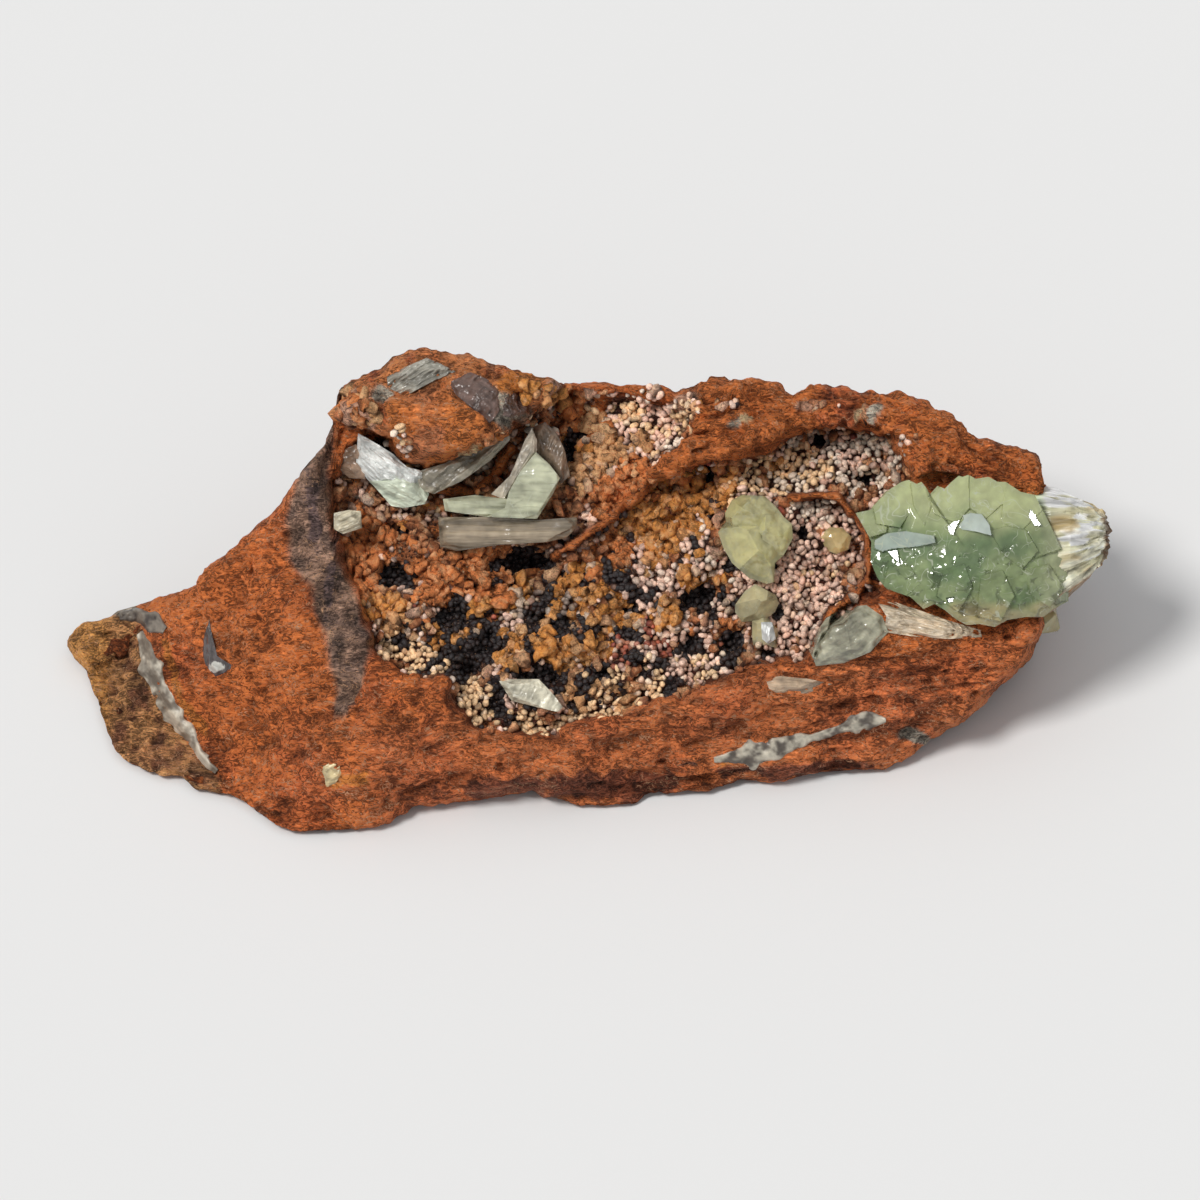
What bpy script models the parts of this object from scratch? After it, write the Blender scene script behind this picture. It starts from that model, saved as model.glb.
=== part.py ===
"""Adamite on limonite matrix: a hand-sized mineral specimen, about 105 mm long.

A rusty limonite rock lies on its flat underside. Its show face leans back and holds an open
cavity, with adamite crystals, pale cleavage pieces and calcite seams sitting in sockets.
The rock is drawn on the show face: u runs along its length, v runs up the face, and z is the
height above the table. All sizes in the tables are millimetres.
"""

import math

import bmesh
import bpy
import numpy as np

MM = 0.001
SHOW_FACE_LEAN = math.radians(50)  # the show face's normal, above the horizontal
SIN_LEAN = math.sin(SHOW_FACE_LEAN)
COS_LEAN = math.cos(SHOW_FACE_LEAN)
CENTRE_SHIFT_X = 0.6
CENTRE_SHIFT_Y = 7.923  # puts the origin under the middle of the specimen
SOCKET_GAP = 0.5  # how far a socket's corners stand off the piece in it

# Rock grid: stations along the length, and rows round each section
STATIONS = 72
FRONT_ROWS = 30
BACK_ROWS = 11
END_CROWDING = 0.35  # how strongly the stations crowd towards the two ends

# Outline of the rock on its show face, as (u, v)
UPPER_OUTLINE = [
    (-52.3, -4.3), (-51.5, -3.0), (-48.9, -2.3), (-46.5, -0.9), (-42.5, 0.2), (-39.3, 1.6),
    (-37.0, 4.1), (-34.5, 6.1), (-31.3, 8.8), (-28.1, 13.6), (-26.3, 15.5), (-24.9, 21.3),
    (-21.7, 22.7), (-18.5, 24.9), (-16.9, 25.2), (-12.1, 24.5), (-8.9, 23.8), (-5.7, 22.2),
    (-0.9, 21.4), (3.9, 21.4), (8.7, 20.7), (11.9, 21.8), (13.5, 22.4), (17.5, 21.6),
    (24.7, 21.3), (29.5, 20.4), (34.3, 19.0), (37.5, 16.8), (42.3, 15.4), (43.9, 14.8),
    (44.6, 11.0), (45.2, 2.0),
]
LOWER_OUTLINE = [
    (-52.3, -4.3), (-50.7, -6.0), (-49.0, -11.0), (-47.3, -15.2), (-44.5, -17.2),
    (-40.9, -17.6), (-38.5, -19.0), (-34.5, -20.2), (-31.3, -22.4), (-29.7, -23.0),
    (-26.0, -23.1), (-20.1, -22.0), (-16.9, -20.4), (-12.1, -19.7), (-5.7, -18.9),
    (-2.5, -20.2), (2.3, -20.4), (5.5, -19.4), (11.9, -19.2), (16.7, -18.0), (22.3, -17.5),
    (27.9, -17.0), (31.1, -16.2), (34.3, -13.9), (37.5, -11.9), (40.7, -9.2), (43.9, -5.7),
    (44.9, -3.0), (45.2, 2.0),
]

# Fracture faces of the rock, as (height at u=0 v=0, rise along u, rise along v)
LEFT_FACE = (30.6, 0.45, 0.70)
FRONT_FACE = (23.9, -0.12, 1.15)
SHOW_FACE = (17.5, -0.02, 0.46)
FACE_BLEND = 0.9  # how softly two fracture faces meet
BACK_WALL_RISE = 2.3  # how steeply the back wall climbs as v grows
BACK_FOOT_U = (-53.0, -46.0, -38.0, -31.0, -25.0, -17.0, -6.0, 8.0, 22.0, 34.0, 46.0)
BACK_FOOT_V = (-6.5, -5.6, -3.4, -0.6, 6.6, 10.6, 10.9, 9.4, 10.6, 8.4, 5.0)
TOP_EDGE_DROP = 1.6
FOOT_EDGE = 0.9  # height of the rock's foot edge above the table
RIGHT_FOOT_LIFT = 4.5
EDGE_ROUNDING_FRONT = 2.2
EDGE_ROUNDING_BACK = 4.5

# The grey joint face between the left face and the show face: u of its two edges at each v
JOINT_V = (-12.0, -9.0, -5.5, -1.0, 2.0, 4.0, 8.0, 13.5, 18.0, 22.0)
JOINT_LEFT = (-26.4, -26.6, -27.5, -28.3, -29.6, -31.0, -31.6, -29.6, -27.5, -26.6)
JOINT_RIGHT = (-25.2, -23.4, -22.7, -23.5, -25.0, -26.0, -26.8, -26.6, -26.2, -25.5)

# Regions of the skin that stand up or lie low: (rise, width of the slope, outline)
KNOB = (4.2, 2.2, [
    (-28.0, 27.0), (-25.4, 21.0), (-25.6, 18.0), (-23.0, 17.6), (-20.0, 15.9), (-17.0, 14.4),
    (-12.6, 15.0), (-9.0, 17.2), (-6.4, 18.8), (-4.0, 21.0), (-4.0, 27.0),
])
RIM = (2.4, 2.0, [
    (3.6, 11.0), (10.0, 13.4), (16.0, 15.6), (25.0, 17.2), (30.0, 16.4), (35.0, 14.6),
    (43.0, 11.4), (48.0, 12.0), (48.0, 25.0), (10.0, 26.0), (9.0, 18.0), (5.0, 14.6),
])
LOBE = (-1.4, 1.6, [
    (-56.0, 2.0), (-46.8, 0.4), (-45.6, -4.0), (-45.0, -7.0), (-43.4, -11.0), (-40.4, -15.6),
    (-38.0, -18.0), (-38.0, -24.0), (-56.0, -24.0),
])
CAVITY = (-2.8, 2.4, [
    (-23.6, 12.6), (-24.6, 6.0), (-22.6, 0.0), (-21.0, -5.5), (-15.0, -9.0), (-12.6, -13.0),
    (-5.0, -13.8), (1.0, -12.4), (8.0, -10.2), (15.5, -7.4), (21.4, -6.7), (23.0, -3.5),
    (27.0, -0.8), (28.4, 2.0), (28.4, 6.0), (33.0, 10.0), (32.0, 15.8), (26.0, 17.4),
    (17.0, 15.9), (10.0, 13.8), (6.0, 11.6), (3.0, 12.5), (5.0, 19.0), (0.0, 19.6),
    (-3.0, 17.0), (-9.0, 14.6), (-12.6, 12.6), (-17.0, 11.6), (-21.0, 13.0),
])
POCKETS = (
    (-8.5, 3.5, 3.6, 1.8, -2.6),
    (-19.0, 0.5, 2.4, 2.0, -1.8),
    (11.3, -0.5, 2.4, 2.0, -2.2),
    (14.0, -4.2, 2.0, 1.4, -1.8),
    (25.5, 12.8, 3.0, 2.2, -1.6),
)

# Gentle swells over the whole rock: (rise, waves along u, waves along v, phase)
SWELLS = [
    (0.38, 0.31, 0.22, 0.4),
    (0.30, -0.24, 0.47, 1.9),
    (0.22, 0.66, -0.35, 3.1),
    (0.16, 0.52, 0.81, 5.0),
    (0.11, -1.05, 0.62, 2.2),
]


def new_collection(name):
    collection = bpy.data.collections.new(name)
    bpy.context.scene.collection.children.link(collection)
    return collection


def make_material(name, colour, roughness, transmission=0.0):
    material = bpy.data.materials.new(name)
    material.use_nodes = True
    shader = material.node_tree.nodes["Principled BSDF"]
    shader.inputs["Base Color"].default_value = (*colour, 1.0)
    shader.inputs["Roughness"].default_value = roughness
    shader.inputs["Transmission Weight"].default_value = transmission
    return material


def to_world(u, v, z):
    """The point of the show face (u, v) at height z, in metres."""
    y = (v - z * COS_LEAN) / SIN_LEAN
    return np.stack([(u + CENTRE_SHIFT_X) * MM, (y + CENTRE_SHIFT_Y) * MM, z * MM], axis=-1)


def smooth(share):
    share = np.clip(share, 0, 1)
    return share * share * (3 - 2 * share)


def plane(u, v, face):
    height, along_u, along_v = face
    return height + along_u * u + along_v * v


def soft_least(values, blend):
    """The smallest of several heights, with the creases between them rounded."""
    stacked = np.stack(values)
    lowest = stacked.min(axis=0)
    return lowest - blend * np.log(np.exp((lowest - stacked) / blend).sum(axis=0))


def inside_distance(u, v, outline):
    """Distance to a closed outline, positive inside it."""
    points = np.array(outline)
    ends = np.roll(points, -1, axis=0)
    nearest = np.full(np.shape(u), 1e9)
    crossings = np.zeros(np.shape(u), int)
    for (au, av), (bu, bv) in zip(points, ends):
        du, dv = bu - au, bv - av
        share = np.clip(((u - au) * du + (v - av) * dv) / (du * du + dv * dv), 0, 1)
        nearest = np.minimum(nearest, np.hypot(u - au - share * du, v - av - share * dv))
        spans = (av > v) != (bv > v)
        crossings += spans & (u < au + (v - av) * du / (dv if dv else 1e-9))
    return np.where(crossings % 2 == 1, nearest, -nearest)


def region(u, v, shape):
    """Height of a region that stands up or lies low, sloping across its outline."""
    rise, slope, outline = shape
    return rise * smooth(inside_distance(u, v, outline) / slope + 0.5)


def swells(u, v):
    total = np.zeros(np.shape(u))
    for rise, along_u, along_v, phase in SWELLS:
        total = total + rise * np.sin(along_u * u + along_v * v + phase)
    return total


def show_height(u, v):
    """Height of the rock's upper skin above the table at (u, v)."""
    left, show = plane(u, v, LEFT_FACE), plane(u, v, SHOW_FACE)
    show = show + region(u, v, KNOB) + region(u, v, RIM)
    joint_left, joint_right = np.interp(v, JOINT_V, JOINT_LEFT), np.interp(v, JOINT_V, JOINT_RIGHT)
    past_joint = smooth((u - joint_left) / (joint_right - joint_left))
    show = show + np.maximum(left - show, 0) * (1 - past_joint)
    height = soft_least([left, show, plane(u, v, FRONT_FACE)], FACE_BLEND)
    height = height + swells(u, v) + region(u, v, LOBE) + region(u, v, CAVITY)
    for cu, cv, half_u, half_v, rise in POCKETS:
        height = height + rise * np.exp(-(((u - cu) / half_u) ** 2) - ((v - cv) / half_v) ** 2)
    return height


def outline_rows(u):
    upper, lower = np.array(UPPER_OUTLINE).T, np.array(LOWER_OUTLINE).T
    return np.interp(u, *lower), np.interp(u, *upper)


def edge_height(u, low, high):
    """Height of the rock's rim at its lower and upper outline."""
    foot = FOOT_EDGE + RIGHT_FOOT_LIFT * smooth((u - 28) / 18)
    top = np.maximum(show_height(u, high) - TOP_EDGE_DROP, foot + 0.6)
    return foot, top


def rounding(distance, width):
    share = np.clip(distance / width, 0, 1)
    return np.sqrt(1 - (1 - share) ** 2)


def rock_sheet(u, share, front):
    """One side of the rock: share runs from 0 at the lower outline to 1 at the upper one."""
    low, high = outline_rows(u)
    v = low + (high - low) * share
    foot, top = edge_height(u, low, high)
    rim = foot + (top - foot) * share
    margin = np.minimum(v - low, high - v)
    if front:
        skin = np.maximum(show_height(u, v), rim)
        height = rim + (skin - rim) * rounding(margin, EDGE_ROUNDING_FRONT)
    else:
        foot_line = np.interp(u, BACK_FOOT_U, BACK_FOOT_V) + swells(0.9 * u, 1.4 * v + 5)
        wall = BACK_WALL_RISE * (v - foot_line)
        skin = np.clip(np.minimum(wall, rim), 0, None)
        height = rim + (skin - rim) * rounding(margin, EDGE_ROUNDING_BACK)
    return v, np.maximum(height, 0)


def rock_mesh():
    """Closed skin of the rock: a ring of rows at each station, and a point at each end."""
    first, last = UPPER_OUTLINE[0][0], UPPER_OUTLINE[-1][0]
    even = np.linspace(0, 1, STATIONS + 2)[1:-1]
    crowded = (1 - END_CROWDING) * even + END_CROWDING * (1 - np.cos(math.pi * even)) / 2
    u = (first + (last - first) * crowded)[:, None]
    front_share = (1 - np.cos(math.pi * np.linspace(0, 1, FRONT_ROWS + 1))) / 2
    back_share = (1 + np.cos(math.pi * np.linspace(0, 1, BACK_ROWS + 1)[1:-1])) / 2
    blend = 0.45
    front_share = blend * front_share + (1 - blend) * np.linspace(0, 1, FRONT_ROWS + 1)
    rows = []
    for share, front in ((front_share, True), (back_share, False)):
        row_u = u + 0 * share[None, :]
        v, z = rock_sheet(row_u, share[None, :] + 0 * u, front)
        rows.append(to_world(row_u, v, z))
    rings = np.concatenate(rows, axis=1)
    around = rings.shape[1]
    tips = []
    for tip_u, tip_v in (UPPER_OUTLINE[0], UPPER_OUTLINE[-1]):
        tips.append(to_world(tip_u, tip_v, 0.5 * float(show_height(np.array(tip_u), np.array(tip_v)))))
    mesh = bmesh.new()
    made = [[mesh.verts.new(point) for point in ring] for ring in rings]
    ends = [mesh.verts.new(tip) for tip in tips]
    for here, there in zip(made, made[1:]):
        for i in range(around):
            j = (i + 1) % around
            mesh.faces.new((here[i], there[i], there[j], here[j]))
    for ring, tip, turned in ((made[0], ends[0], True), (made[-1], ends[1], False)):
        for i in range(around):
            j = (i + 1) % around
            mesh.faces.new((tip, ring[i], ring[j]) if turned else (tip, ring[j], ring[i]))
    bmesh.ops.recalc_face_normals(mesh, faces=mesh.faces)
    return mesh


def add_object(name, mesh, material, collection):
    data = bpy.data.meshes.new(name)
    bmesh.ops.recalc_face_normals(mesh, faces=mesh.faces)
    mesh.to_mesh(data)
    mesh.free()
    if material:
        data.materials.append(material)
    obj = bpy.data.objects.new(name, data)
    collection.objects.link(obj)
    return obj


def skin_rings(mesh, rings):
    """Joins rings of equal length into one closed body, with a fan over each end."""
    made = [[mesh.verts.new(point) for point in ring] for ring in rings]
    count = len(made[0])
    for here, there in zip(made, made[1:]):
        for i in range(count):
            j = (i + 1) % count
            mesh.faces.new((here[i], here[j], there[j], there[i]))
    for ring in (made[0], made[-1]):
        middle = mesh.verts.new(sum((vert.co for vert in ring), ring[0].co * 0) / count)
        for i in range(count):
            mesh.faces.new((middle, ring[i], ring[(i + 1) % count]))


def stone(middle, outline, rings):
    """A crystal seen from the front: its outline carried through rings of (scale, rise).

    The rise counts along the show face's normal, from the rock under the middle point.
    """
    corners = np.array(outline, float)
    centre = np.array(middle, float)
    seat = show_height(centre[0], centre[1])
    mesh = bmesh.new()
    made = []
    for scale, rise in rings:
        at = centre + (corners - centre) * scale
        height = seat + COS_LEAN * (at[:, 1] - centre[1]) + rise * SIN_LEAN
        made.append(to_world(at[:, 0], at[:, 1], height))
    skin_rings(mesh, made)
    return mesh


def seam(path, thickness, proud=0.35):
    """A vein that follows the rock: (u, v, half width) along its middle line."""
    line = np.array(path, float)
    heading = np.gradient(line[:, :2], axis=0)
    heading /= np.linalg.norm(heading, axis=1)[:, None]
    across = np.stack([-heading[:, 1], heading[:, 0]], axis=1)
    mesh = bmesh.new()
    flank, root = -0.4 * thickness, -thickness
    sides = [(-1, flank), (-0.75, proud), (0.75, proud), (1, flank), (0.5, root), (-0.5, root)]
    loops = []
    for centre, side, half in zip(line[:, :2], across, line[:, 2]):
        at = np.array([centre + side * half * reach for reach, _ in sides])
        rise = np.array([lift for _, lift in sides])
        height = show_height(at[:, 0], at[:, 1]) + rise * SIN_LEAN
        loops.append(to_world(at[:, 0], at[:, 1], np.maximum(height, SEAM_LOWEST)))
    skin_rings(mesh, loops)
    return mesh


def swollen(source, name, collection):
    """A copy whose corners stand off the piece, to cut its socket in the rock."""
    data = source.data.copy()
    points = np.empty(len(data.vertices) * 3)
    data.vertices.foreach_get("co", points)
    normals = np.array([vertex.normal[:] for vertex in data.vertices])
    data.vertices.foreach_set("co", (points.reshape(-1, 3) + normals * SOCKET_GAP * MM).ravel())
    cutter = bpy.data.objects.new(name, data)
    cutter.hide_render = True
    cutter.display_type = "WIRE"
    collection.objects.link(cutter)
    return cutter


# Crystals in the cavity and the rock. Each is one lobe, or several grown together:
# a middle point, the outline on the show face, and rings of (scale about the middle, rise)
CRYSTALS = {
    "adamite_cluster": ("green_adamite", [
        (
            (31.0, 5.0),
            [
                (26.9, 4.4), (27.6, 7.0), (29.0, 9.2), (30.9, 12.0), (32.2, 11.9), (33.0, 10.0),
                (35.4, 6.0), (34.2, 1.0), (31.0, 0.2), (28.4, 1.6),
            ],
            [(0.7, -2.6), (0.96, -0.6), (1.0, 1.2), (0.74, 3.6), (0.34, 4.5)],
        ),
        (
            (36.2, 8.2),
            [
                (32.6, 10.2), (33.8, 11.4), (36.8, 12.5), (38.6, 12.3), (40.2, 11.4), (40.4, 6.6),
                (38.0, 3.6), (34.0, 5.0),
            ],
            [(0.7, -2.6), (0.96, -0.2), (1.0, 2.6), (0.7, 4.6), (0.3, 5.2)],
        ),
        (
            (40.6, 4.6),
            [
                (39.8, 11.6), (42.0, 10.8), (43.1, 9.0), (44.4, 6.6), (44.6, 2.2), (42.2, -1.2),
                (38.6, -0.6), (36.4, 2.6), (36.8, 7.2),
            ],
            [(0.7, -2.6), (0.96, 0.0), (1.0, 2.2), (0.72, 4.8), (0.3, 5.8)],
        ),
        (
            (36.8, 0.8),
            [
                (31.0, 1.2), (33.2, -0.8), (35.4, -2.0), (37.6, -2.5), (40.6, -2.4), (42.4, -1.4),
                (42.6, 1.8), (39.8, 4.2), (35.6, 4.6), (32.4, 3.4),
            ],
            [(0.7, -2.6), (0.96, -0.6), (1.0, 1.8), (0.7, 4.0), (0.36, 4.6)],
        ),
        (
            (46.0, 4.8),
            [
                (42.4, 10.4), (45.4, 10.9), (48.4, 10.1), (50.2, 9.0), (51.1, 7.2), (50.6, 4.6),
                (49.9, 2.6), (48.4, 0.9), (46.4, -0.3), (44.4, -1.2), (42.0, 0.6), (41.6, 5.6),
            ],
            [(0.8, -2.8), (0.96, -1.4), (1.0, 0.6), (0.9, 3.0), (0.6, 4.0)],
        ),
    ]),
    "adamite_crystal": ("yellow_adamite", [
        (
            (16.6, 6.6),
            [
                (12.7, 9.8), (14.1, 10.6), (16.0, 10.4), (17.2, 9.3), (19.3, 7.2), (19.3, 5.9),
                (18.3, 3.8), (17.5, 2.9), (17.0, 1.5), (15.5, 1.5), (13.6, 3.5), (12.1, 5.5),
                (11.8, 7.0),
            ],
            [(0.6, -1.8), (0.94, 0.0), (1.0, 1.4), (0.7, 2.9), (0.3, 3.6)],
        ),
    ]),
    "adamite_twin": ("yellow_adamite", [
        (
            (15.9, -0.6),
            [(15.4, 1.1), (17.4, 0.2), (17.6, -1.2), (16.2, -2.2), (14.3, -1.8), (13.5, -0.7), (14.5, 0.8)],
            [(0.6, -1.6), (0.96, 0.2), (1.0, 1.0), (0.6, 2.2), (0.3, 2.6)],
        ),
        (
            (16.4, -3.2),
            [(15.6, -1.6), (16.8, -1.8), (17.5, -2.3), (17.6, -4.2), (16.4, -5.0), (15.3, -4.6), (15.3, -2.8)],
            [(0.6, -1.6), (0.96, 0.0), (1.0, 0.6), (0.6, 1.2)],
        ),
    ]),
    "adamite_chip": ("yellow_adamite", [
        (
            (23.7, 6.0),
            [(22.0, 6.4), (23.4, 7.4), (25.2, 7.2), (25.4, 5.6), (24.4, 4.6), (22.6, 4.8)],
            [(0.6, -1.2), (1.0, 0.2), (0.75, 0.9), (0.4, 1.1)],
        ),
    ]),
    "white_cleavage": ("white_cleavage", [
        (
            (-19.8, 12.4),
            [
                (-26.2, 14.6), (-24.6, 16.5), (-23.2, 16.5), (-20.6, 14.8), (-18.8, 13.4),
                (-16.8, 13.2), (-13.4, 13.9), (-13.6, 12.7), (-15.8, 10.8), (-16.8, 9.9),
                (-18.2, 9.4), (-20.2, 9.2), (-22.0, 10.8), (-24.2, 11.6), (-26.0, 12.0),
            ],
            [(0.7, -2.4), (0.98, 0.2), (1.0, 2.4), (0.8, 3.4), (0.4, 3.8)],
        ),
    ]),
    "tabular_crystal": ("green_tabular", [
        (
            (-8.4, 9.4),
            [
                (-6.9, 17.4), (-6.1, 15.2), (-5.1, 13.7), (-4.0, 12.2), (-4.8, 10.4), (-6.3, 8.3),
                (-11.0, 8.4), (-15.4, 8.9), (-15.4, 9.9), (-11.0, 10.1), (-9.6, 10.2),
                (-9.1, 11.2), (-8.0, 14.8),
            ],
            [(0.85, -2.0), (0.99, 0.4), (1.0, 3.6), (0.9, 4.0)],
        ),
        (
            (-4.9, 14.6),
            [(-6.6, 17.5), (-4.5, 17.0), (-3.8, 14.5), (-2.8, 12.0), (-4.2, 10.8), (-5.6, 12.6)],
            [(0.85, -4.6), (0.99, -2.6), (1.0, 0.2), (0.85, 0.5)],
        ),
    ]),
    "bar_crystal": ("grey_crystal", [
        (
            (-9.4, 6.4),
            [
                (-16.0, 7.9), (-16.0, 5.8), (-13.6, 5.0), (-9.0, 4.9), (-4.8, 5.3), (-2.4, 5.8),
                (-2.2, 7.2), (-4.4, 7.7), (-9.0, 7.7),
            ],
            [(0.85, -2.2), (0.98, 0.0), (1.0, 2.6), (0.85, 3.1)],
        ),
    ]),
    "short_blade": ("white_cleavage", [
        (
            (-25.0, 7.8),
            [(-26.6, 8.6), (-23.8, 9.0), (-23.4, 7.6), (-24.4, 6.6), (-26.4, 6.8)],
            [(0.8, -1.8), (1.0, -0.2), (0.9, 1.0), (0.5, 1.3)],
        ),
    ]),
    "pale_rhomb": ("white_cleavage", [
        (
            (-6.9, -9.3),
            [(-10.0, -8.0), (-8.5, -7.8), (-6.0, -7.9), (-3.7, -11.0), (-5.5, -11.2), (-8.5, -10.5)],
            [(0.8, -1.8), (1.0, 0.0), (0.95, 0.9), (0.6, 1.3)],
        ),
    ]),
    "glassy_crystal": ("grey_crystal", [
        (
            (24.8, -3.6),
            [
                (20.8, -3.9), (22.0, -1.9), (24.4, -0.8), (27.2, -0.9), (28.6, -2.4), (28.4, -4.4),
                (26.4, -5.8), (23.6, -6.7), (21.2, -6.0),
            ],
            [(0.75, -2.4), (1.0, -0.6), (0.95, 0.7), (0.55, 1.2)],
        ),
    ]),
    "smoky_crystal": ("smoky_crystal", [
        (
            (-12.0, 20.8),
            [(-15.0, 22.2), (-12.0, 23.0), (-9.2, 22.2), (-8.8, 20.4), (-10.6, 18.6), (-13.6, 18.8)],
            [(0.75, -2.2), (1.0, -0.4), (0.9, 0.8), (0.5, 1.1)],
        ),
    ]),
    "crown_fibres": ("grey_crystal", [
        (
            (-18.0, 22.2),
            [(-21.2, 21.8), (-19.4, 23.2), (-17.2, 23.8), (-15.6, 22.6), (-16.6, 20.8), (-19.2, 20.4)],
            [(0.75, -1.8), (1.0, -0.4), (0.9, 0.5), (0.5, 0.8)],
        ),
    ]),
    "grey_inclusion": ("smoky_crystal", [
        (
            (-38.4, -4.8),
            [(-39.6, -2.4), (-38.5, -3.2), (-37.6, -5.0), (-36.8, -6.6), (-38.2, -6.9), (-39.4, -5.4)],
            [(0.7, -1.6), (1.0, -0.3), (0.9, 0.25), (0.5, 0.35)],
        ),
    ]),
    "cream_chip": ("cream_chip", [
        (
            (-26.7, -17.5),
            [(-27.8, -16.6), (-26.0, -16.3), (-25.6, -17.6), (-26.6, -19.0), (-27.7, -18.2)],
            [(0.7, -1.4), (1.0, -0.3), (0.85, 0.3), (0.5, 0.4)],
        ),
    ]),
    "front_shard": ("white_cleavage", [
        (
            (19.6, -8.5),
            [(16.6, -7.8), (19.6, -7.7), (23.0, -8.2), (20.8, -9.2), (18.4, -9.5), (16.8, -9.0)],
            [(0.7, -1.5), (1.0, -0.3), (0.85, 0.35), (0.5, 0.5)],
        ),
    ]),
}

# Veins in the rock: (u, v, half width) along the middle line
SEAMS = {
    "left_seam": (
        "calcite",
        [
            (-45.5, -4.4, 0.9), (-44.8, -7.3, 1.2), (-43.6, -10.1, 1.4), (-42.0, -12.8, 1.2),
            (-40.4, -14.8, 0.8),
        ],
        1.5,
    ),
    "front_seam": (
        "calcite",
        [
            (12.6, -16.3, 0.8), (15.6, -15.3, 1.5), (19.0, -14.4, 1.2), (22.4, -13.6, 0.6),
            (25.6, -12.6, 1.1), (28.4, -12.1, 0.8),
        ],
        1.5,
    ),
    "lobe_fibres": (
        "grey_crystal",
        [(-46.6, -1.9, 0.6), (-45.0, -2.0, 0.8), (-43.2, -1.7, 0.6)],
        1.6,
    ),
    "fibrous_splinter": (
        "white_cleavage",
        [(30.6, -1.2, 0.5), (32.6, -2.2, 1.1), (35.2, -2.9, 0.9), (37.6, -3.4, 0.4)],
        1.8,
    ),
}

SEAM_LOWEST = 1.4  # a seam's underside stays this far above the table

# The small crystal under the cluster stands out of the rock's right end
NUB_CENTRE = (44.4, -1.4, 8.6)
NUB_RADIUS = 1.7

MATERIALS = {
    "limonite": ((0.36, 0.12, 0.035), 0.9, 0.0),
    "green_adamite": ((0.42, 0.62, 0.34), 0.12, 0.8),
    "yellow_adamite": ((0.62, 0.62, 0.30), 0.12, 0.8),
    "green_tabular": ((0.62, 0.72, 0.56), 0.2, 0.6),
    "white_cleavage": ((0.70, 0.71, 0.66), 0.3, 0.4),
    "grey_crystal": ((0.38, 0.36, 0.31), 0.3, 0.4),
    "smoky_crystal": ((0.14, 0.11, 0.09), 0.35, 0.2),
    "calcite": ((0.45, 0.44, 0.40), 0.4, 0.1),
    "cream_chip": ((0.72, 0.60, 0.38), 0.6, 0.0),
}


def main():
    for obj in list(bpy.data.objects):
        bpy.data.objects.remove(obj, do_unlink=True)
    parts = new_collection("adamite_on_matrix")
    cutters = new_collection("socket_cutters")
    finishes = {name: make_material(name, *values) for name, values in MATERIALS.items()}

    rock = add_object("matrix", rock_mesh(), finishes["limonite"], parts)
    seated = []
    for name, (finish, lobes) in CRYSTALS.items():
        crystal = add_object(name, stone(*lobes[0]), finishes[finish], parts)
        seated.append(crystal)
        if len(lobes) > 1:
            grown = new_collection(name + "_lobes")
            for number, lobe in enumerate(lobes[1:], 2):
                piece = add_object(f"{name}_lobe_{number}", stone(*lobe), finishes[finish], grown)
                piece.hide_render = True
                piece.display_type = "WIRE"
                seated.append(piece)
            join = crystal.modifiers.new("grown together", "BOOLEAN")
            join.operation = "UNION"
            join.operand_type = "COLLECTION"
            join.collection = grown
            join.solver = "EXACT"
    for name, (finish, path, thickness) in SEAMS.items():
        seated.append(add_object(name, seam(path, thickness), finishes[finish], parts))
    nub = bmesh.new()
    bmesh.ops.create_icosphere(nub, subdivisions=1, radius=NUB_RADIUS * MM)
    bmesh.ops.translate(nub, verts=nub.verts, vec=to_world(*NUB_CENTRE))
    seated.append(add_object("adamite_nub", nub, finishes["yellow_adamite"], parts))

    for piece in seated:
        swollen(piece, piece.name + "_socket", cutters)
    socket = rock.modifiers.new("sockets", "BOOLEAN")
    socket.operation = "DIFFERENCE"
    socket.operand_type = "COLLECTION"
    socket.collection = cutters
    socket.solver = "EXACT"


main()
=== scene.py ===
import math
import bpy
import numpy as np
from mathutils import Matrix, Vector


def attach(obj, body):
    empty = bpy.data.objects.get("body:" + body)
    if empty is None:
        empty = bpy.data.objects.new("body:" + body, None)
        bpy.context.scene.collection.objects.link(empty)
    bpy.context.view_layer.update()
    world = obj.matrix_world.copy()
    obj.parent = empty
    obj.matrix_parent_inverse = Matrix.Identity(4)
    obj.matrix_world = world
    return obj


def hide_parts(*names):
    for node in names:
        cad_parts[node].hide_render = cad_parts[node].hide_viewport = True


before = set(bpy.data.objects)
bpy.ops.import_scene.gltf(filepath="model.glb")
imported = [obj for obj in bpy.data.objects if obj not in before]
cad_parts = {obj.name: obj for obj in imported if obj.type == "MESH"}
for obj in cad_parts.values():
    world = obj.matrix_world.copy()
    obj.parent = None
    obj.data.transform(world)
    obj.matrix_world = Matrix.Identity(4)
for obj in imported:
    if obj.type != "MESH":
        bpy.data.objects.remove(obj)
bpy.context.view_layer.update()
print("frame loaded:", len(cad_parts), "nodes")

# The specimen is drawn as the camera sees it: u runs right and v up in the picture, t comes
# towards the camera, and z is the height above the table. All four are millimetres.
mm = 0.001
lean = math.radians(50)
sinLean, cosLean = math.sin(lean), math.cos(lean)
shiftX, shiftY = 0.6, 7.923
dice = np.random.default_rng(7)
latticeValues = dice.random((64, 64, 64))
latticePoints = dice.random((64, 64, 64, 3))


# ---- numbers: coordinates, distances and noise

def fromHeight(u, v, z):
    # the point on the view ray (u, v) whose height is z
    y = (v - z * cosLean) / sinLean
    return np.stack([u + shiftX + 0 * z, y + shiftY, z + 0 * y], axis=-1)


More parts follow.
